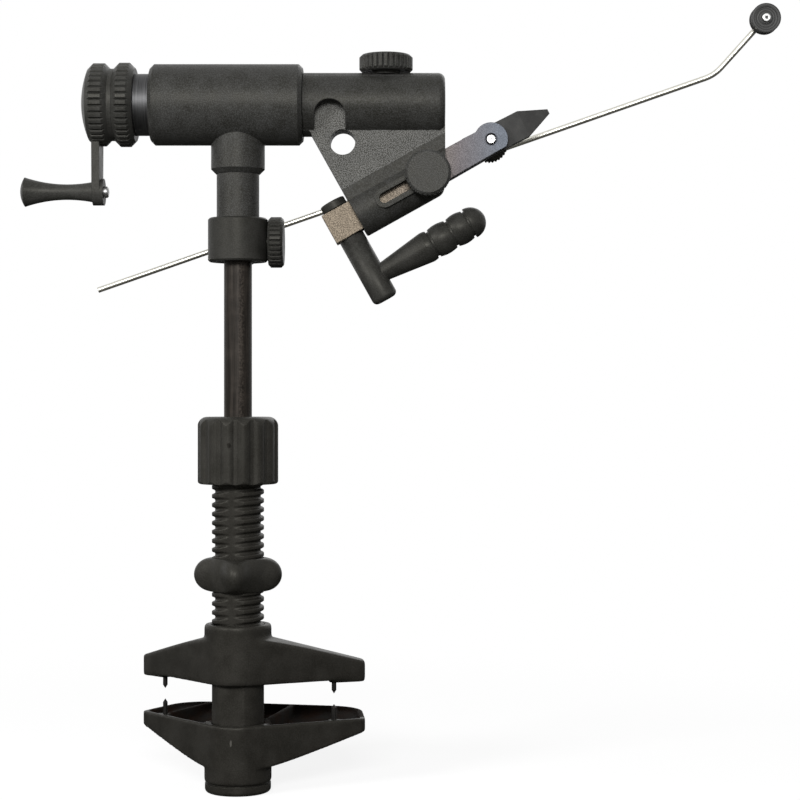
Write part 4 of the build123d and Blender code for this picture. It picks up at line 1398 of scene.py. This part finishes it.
@dataclass
class Studio:
    """White floor and world, soft lamps and the camera."""

    camera_at: Vector = (58.0 * MM, -716.0 * MM, 140.0 * MM)
    lens: float = 90.0
    sensor: float = 36.0
    sight: float = 50.0
    floor_size: float = 6.0
    floor_drop: float = 0.05 * MM
    floor_fade: Pair = (0.10, 0.42)
    floor_mottle: float = 0.3
    floor_dark: Colour = (0.30, 0.30, 0.30)
    floor_pale: Colour = (0.32, 0.32, 0.32)
    floor_glow: float = 0.86
    floor_mirrored: Colour = (0.16, 0.16, 0.15)
    fill: float = 0.06
    mirrored: float = 0.9
    aim: Vector = (0.058, 0.0, 0.15)
    lamps: tuple[Lamp, ...] = (
        Lamp("front", (0.0, -1.05, 0.50), (0.45, 0.20), 7.4),
        Lamp("left", (-0.85, -0.80, 0.60), (0.40, 0.30), 7.0),
        Lamp("back", (0.5, 1.3, 0.9), (1.0, 0.6), 2.5),
    )

    def white_seen(self, graph: Graph) -> Signal:
        """1 for rays of the camera and rays through glass, else 0.

        Args:
            graph: The graph to add to.

        Returns:
            The share of white.
        """
        kinds = ("Is Camera Ray", "Is Transmission Ray")
        camera, through = (graph.add("ShaderNodeLightPath", output=k) for k in kinds)
        return camera.highest(through)

    def world(self) -> None:
        """A white world for the camera, a grey one for mirrors and a dim one as fill light."""
        world = bpy.data.worlds.new("studio")
        bpy.context.scene.world = world
        world.use_nodes = True
        graph = Graph(world.node_tree)
        mirror = graph.add("ShaderNodeLightPath", output="Is Glossy Ray")
        strength = (self.fill + (self.mirrored - self.fill) * mirror).highest(self.white_seen(graph))
        ground = graph.add("ShaderNodeBackground", {}, {"Color": WHITE, "Strength": strength})
        graph.add("ShaderNodeOutputWorld", {}, {"Surface": ground})

    def floor(self) -> None:
        """A pale floor that keeps the object's shadow and turns white further out."""
        half = self.floor_size / 2.0
        along = np.linspace(-half, half, 3)
        x, y = np.meshgrid(along, along, indexing="ij")
        points = np.stack([x, y, np.full_like(x, -self.floor_drop)], axis=2)
        floor = grid_mesh("floor", points[:, ::-1], (False, False))
        material, graph = new_material("floor paint")
        paint = graph.blend(graph.noise(self.floor_mottle), self.floor_dark, self.floor_pale)
        matt = graph.add("ShaderNodeBsdfDiffuse", {}, {"Color": paint})
        white = graph.add("ShaderNodeEmission", {}, {"Color": WHITE, "Strength": self.floor_glow})
        both = graph.add("ShaderNodeAddShader", {}, {0: matt, 1: white})
        dull = graph.add("ShaderNodeBsdfDiffuse", {}, {"Color": self.floor_mirrored})
        far = graph.away(("X", "Y"), (0.0, 0.0)).step(*self.floor_fade)
        clear = graph.add("ShaderNodeEmission", {}, {"Color": WHITE, "Strength": 1.0})
        pale = graph.add("ShaderNodeMixShader", {}, {0: far, 1: both, 2: clear})
        seen = graph.add("ShaderNodeMixShader", {}, {0: self.white_seen(graph), 1: dull, 2: pale})
        graph.add("ShaderNodeOutputMaterial", {}, {"Surface": seen})
        floor.data.materials.append(material)

    def camera(self) -> None:
        """The camera: level and looking along +Y."""
        data = bpy.data.cameras.new("camera")
        data.lens = self.lens
        data.sensor_width = self.sensor
        data.sensor_fit = "HORIZONTAL"
        data.clip_end = self.sight
        camera = link_new("camera", data)
        camera.location = self.camera_at
        camera.rotation_euler = (math.radians(90.0), 0.0, 0.0)
        bpy.context.scene.camera = camera

    def build(self) -> None:
        """Puts the studio up."""
        bpy.context.scene.view_settings.view_transform = "Standard"
        self.camera()
        self.world()
        self.floor()
        for lamp in self.lamps:
            lamp.build(self.aim)


def main() -> None:
    """Builds the pieces and dresses the nodes."""
    logging.basicConfig(level=logging.INFO, format="%(message)s")
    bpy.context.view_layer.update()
    Studio().build()
    Clamp().dress()
    Stem().dress()
    ThreadRest().dress()
    Rotor().dress()
    JawUnit().dress()


if __name__ == "__main__":
    main()
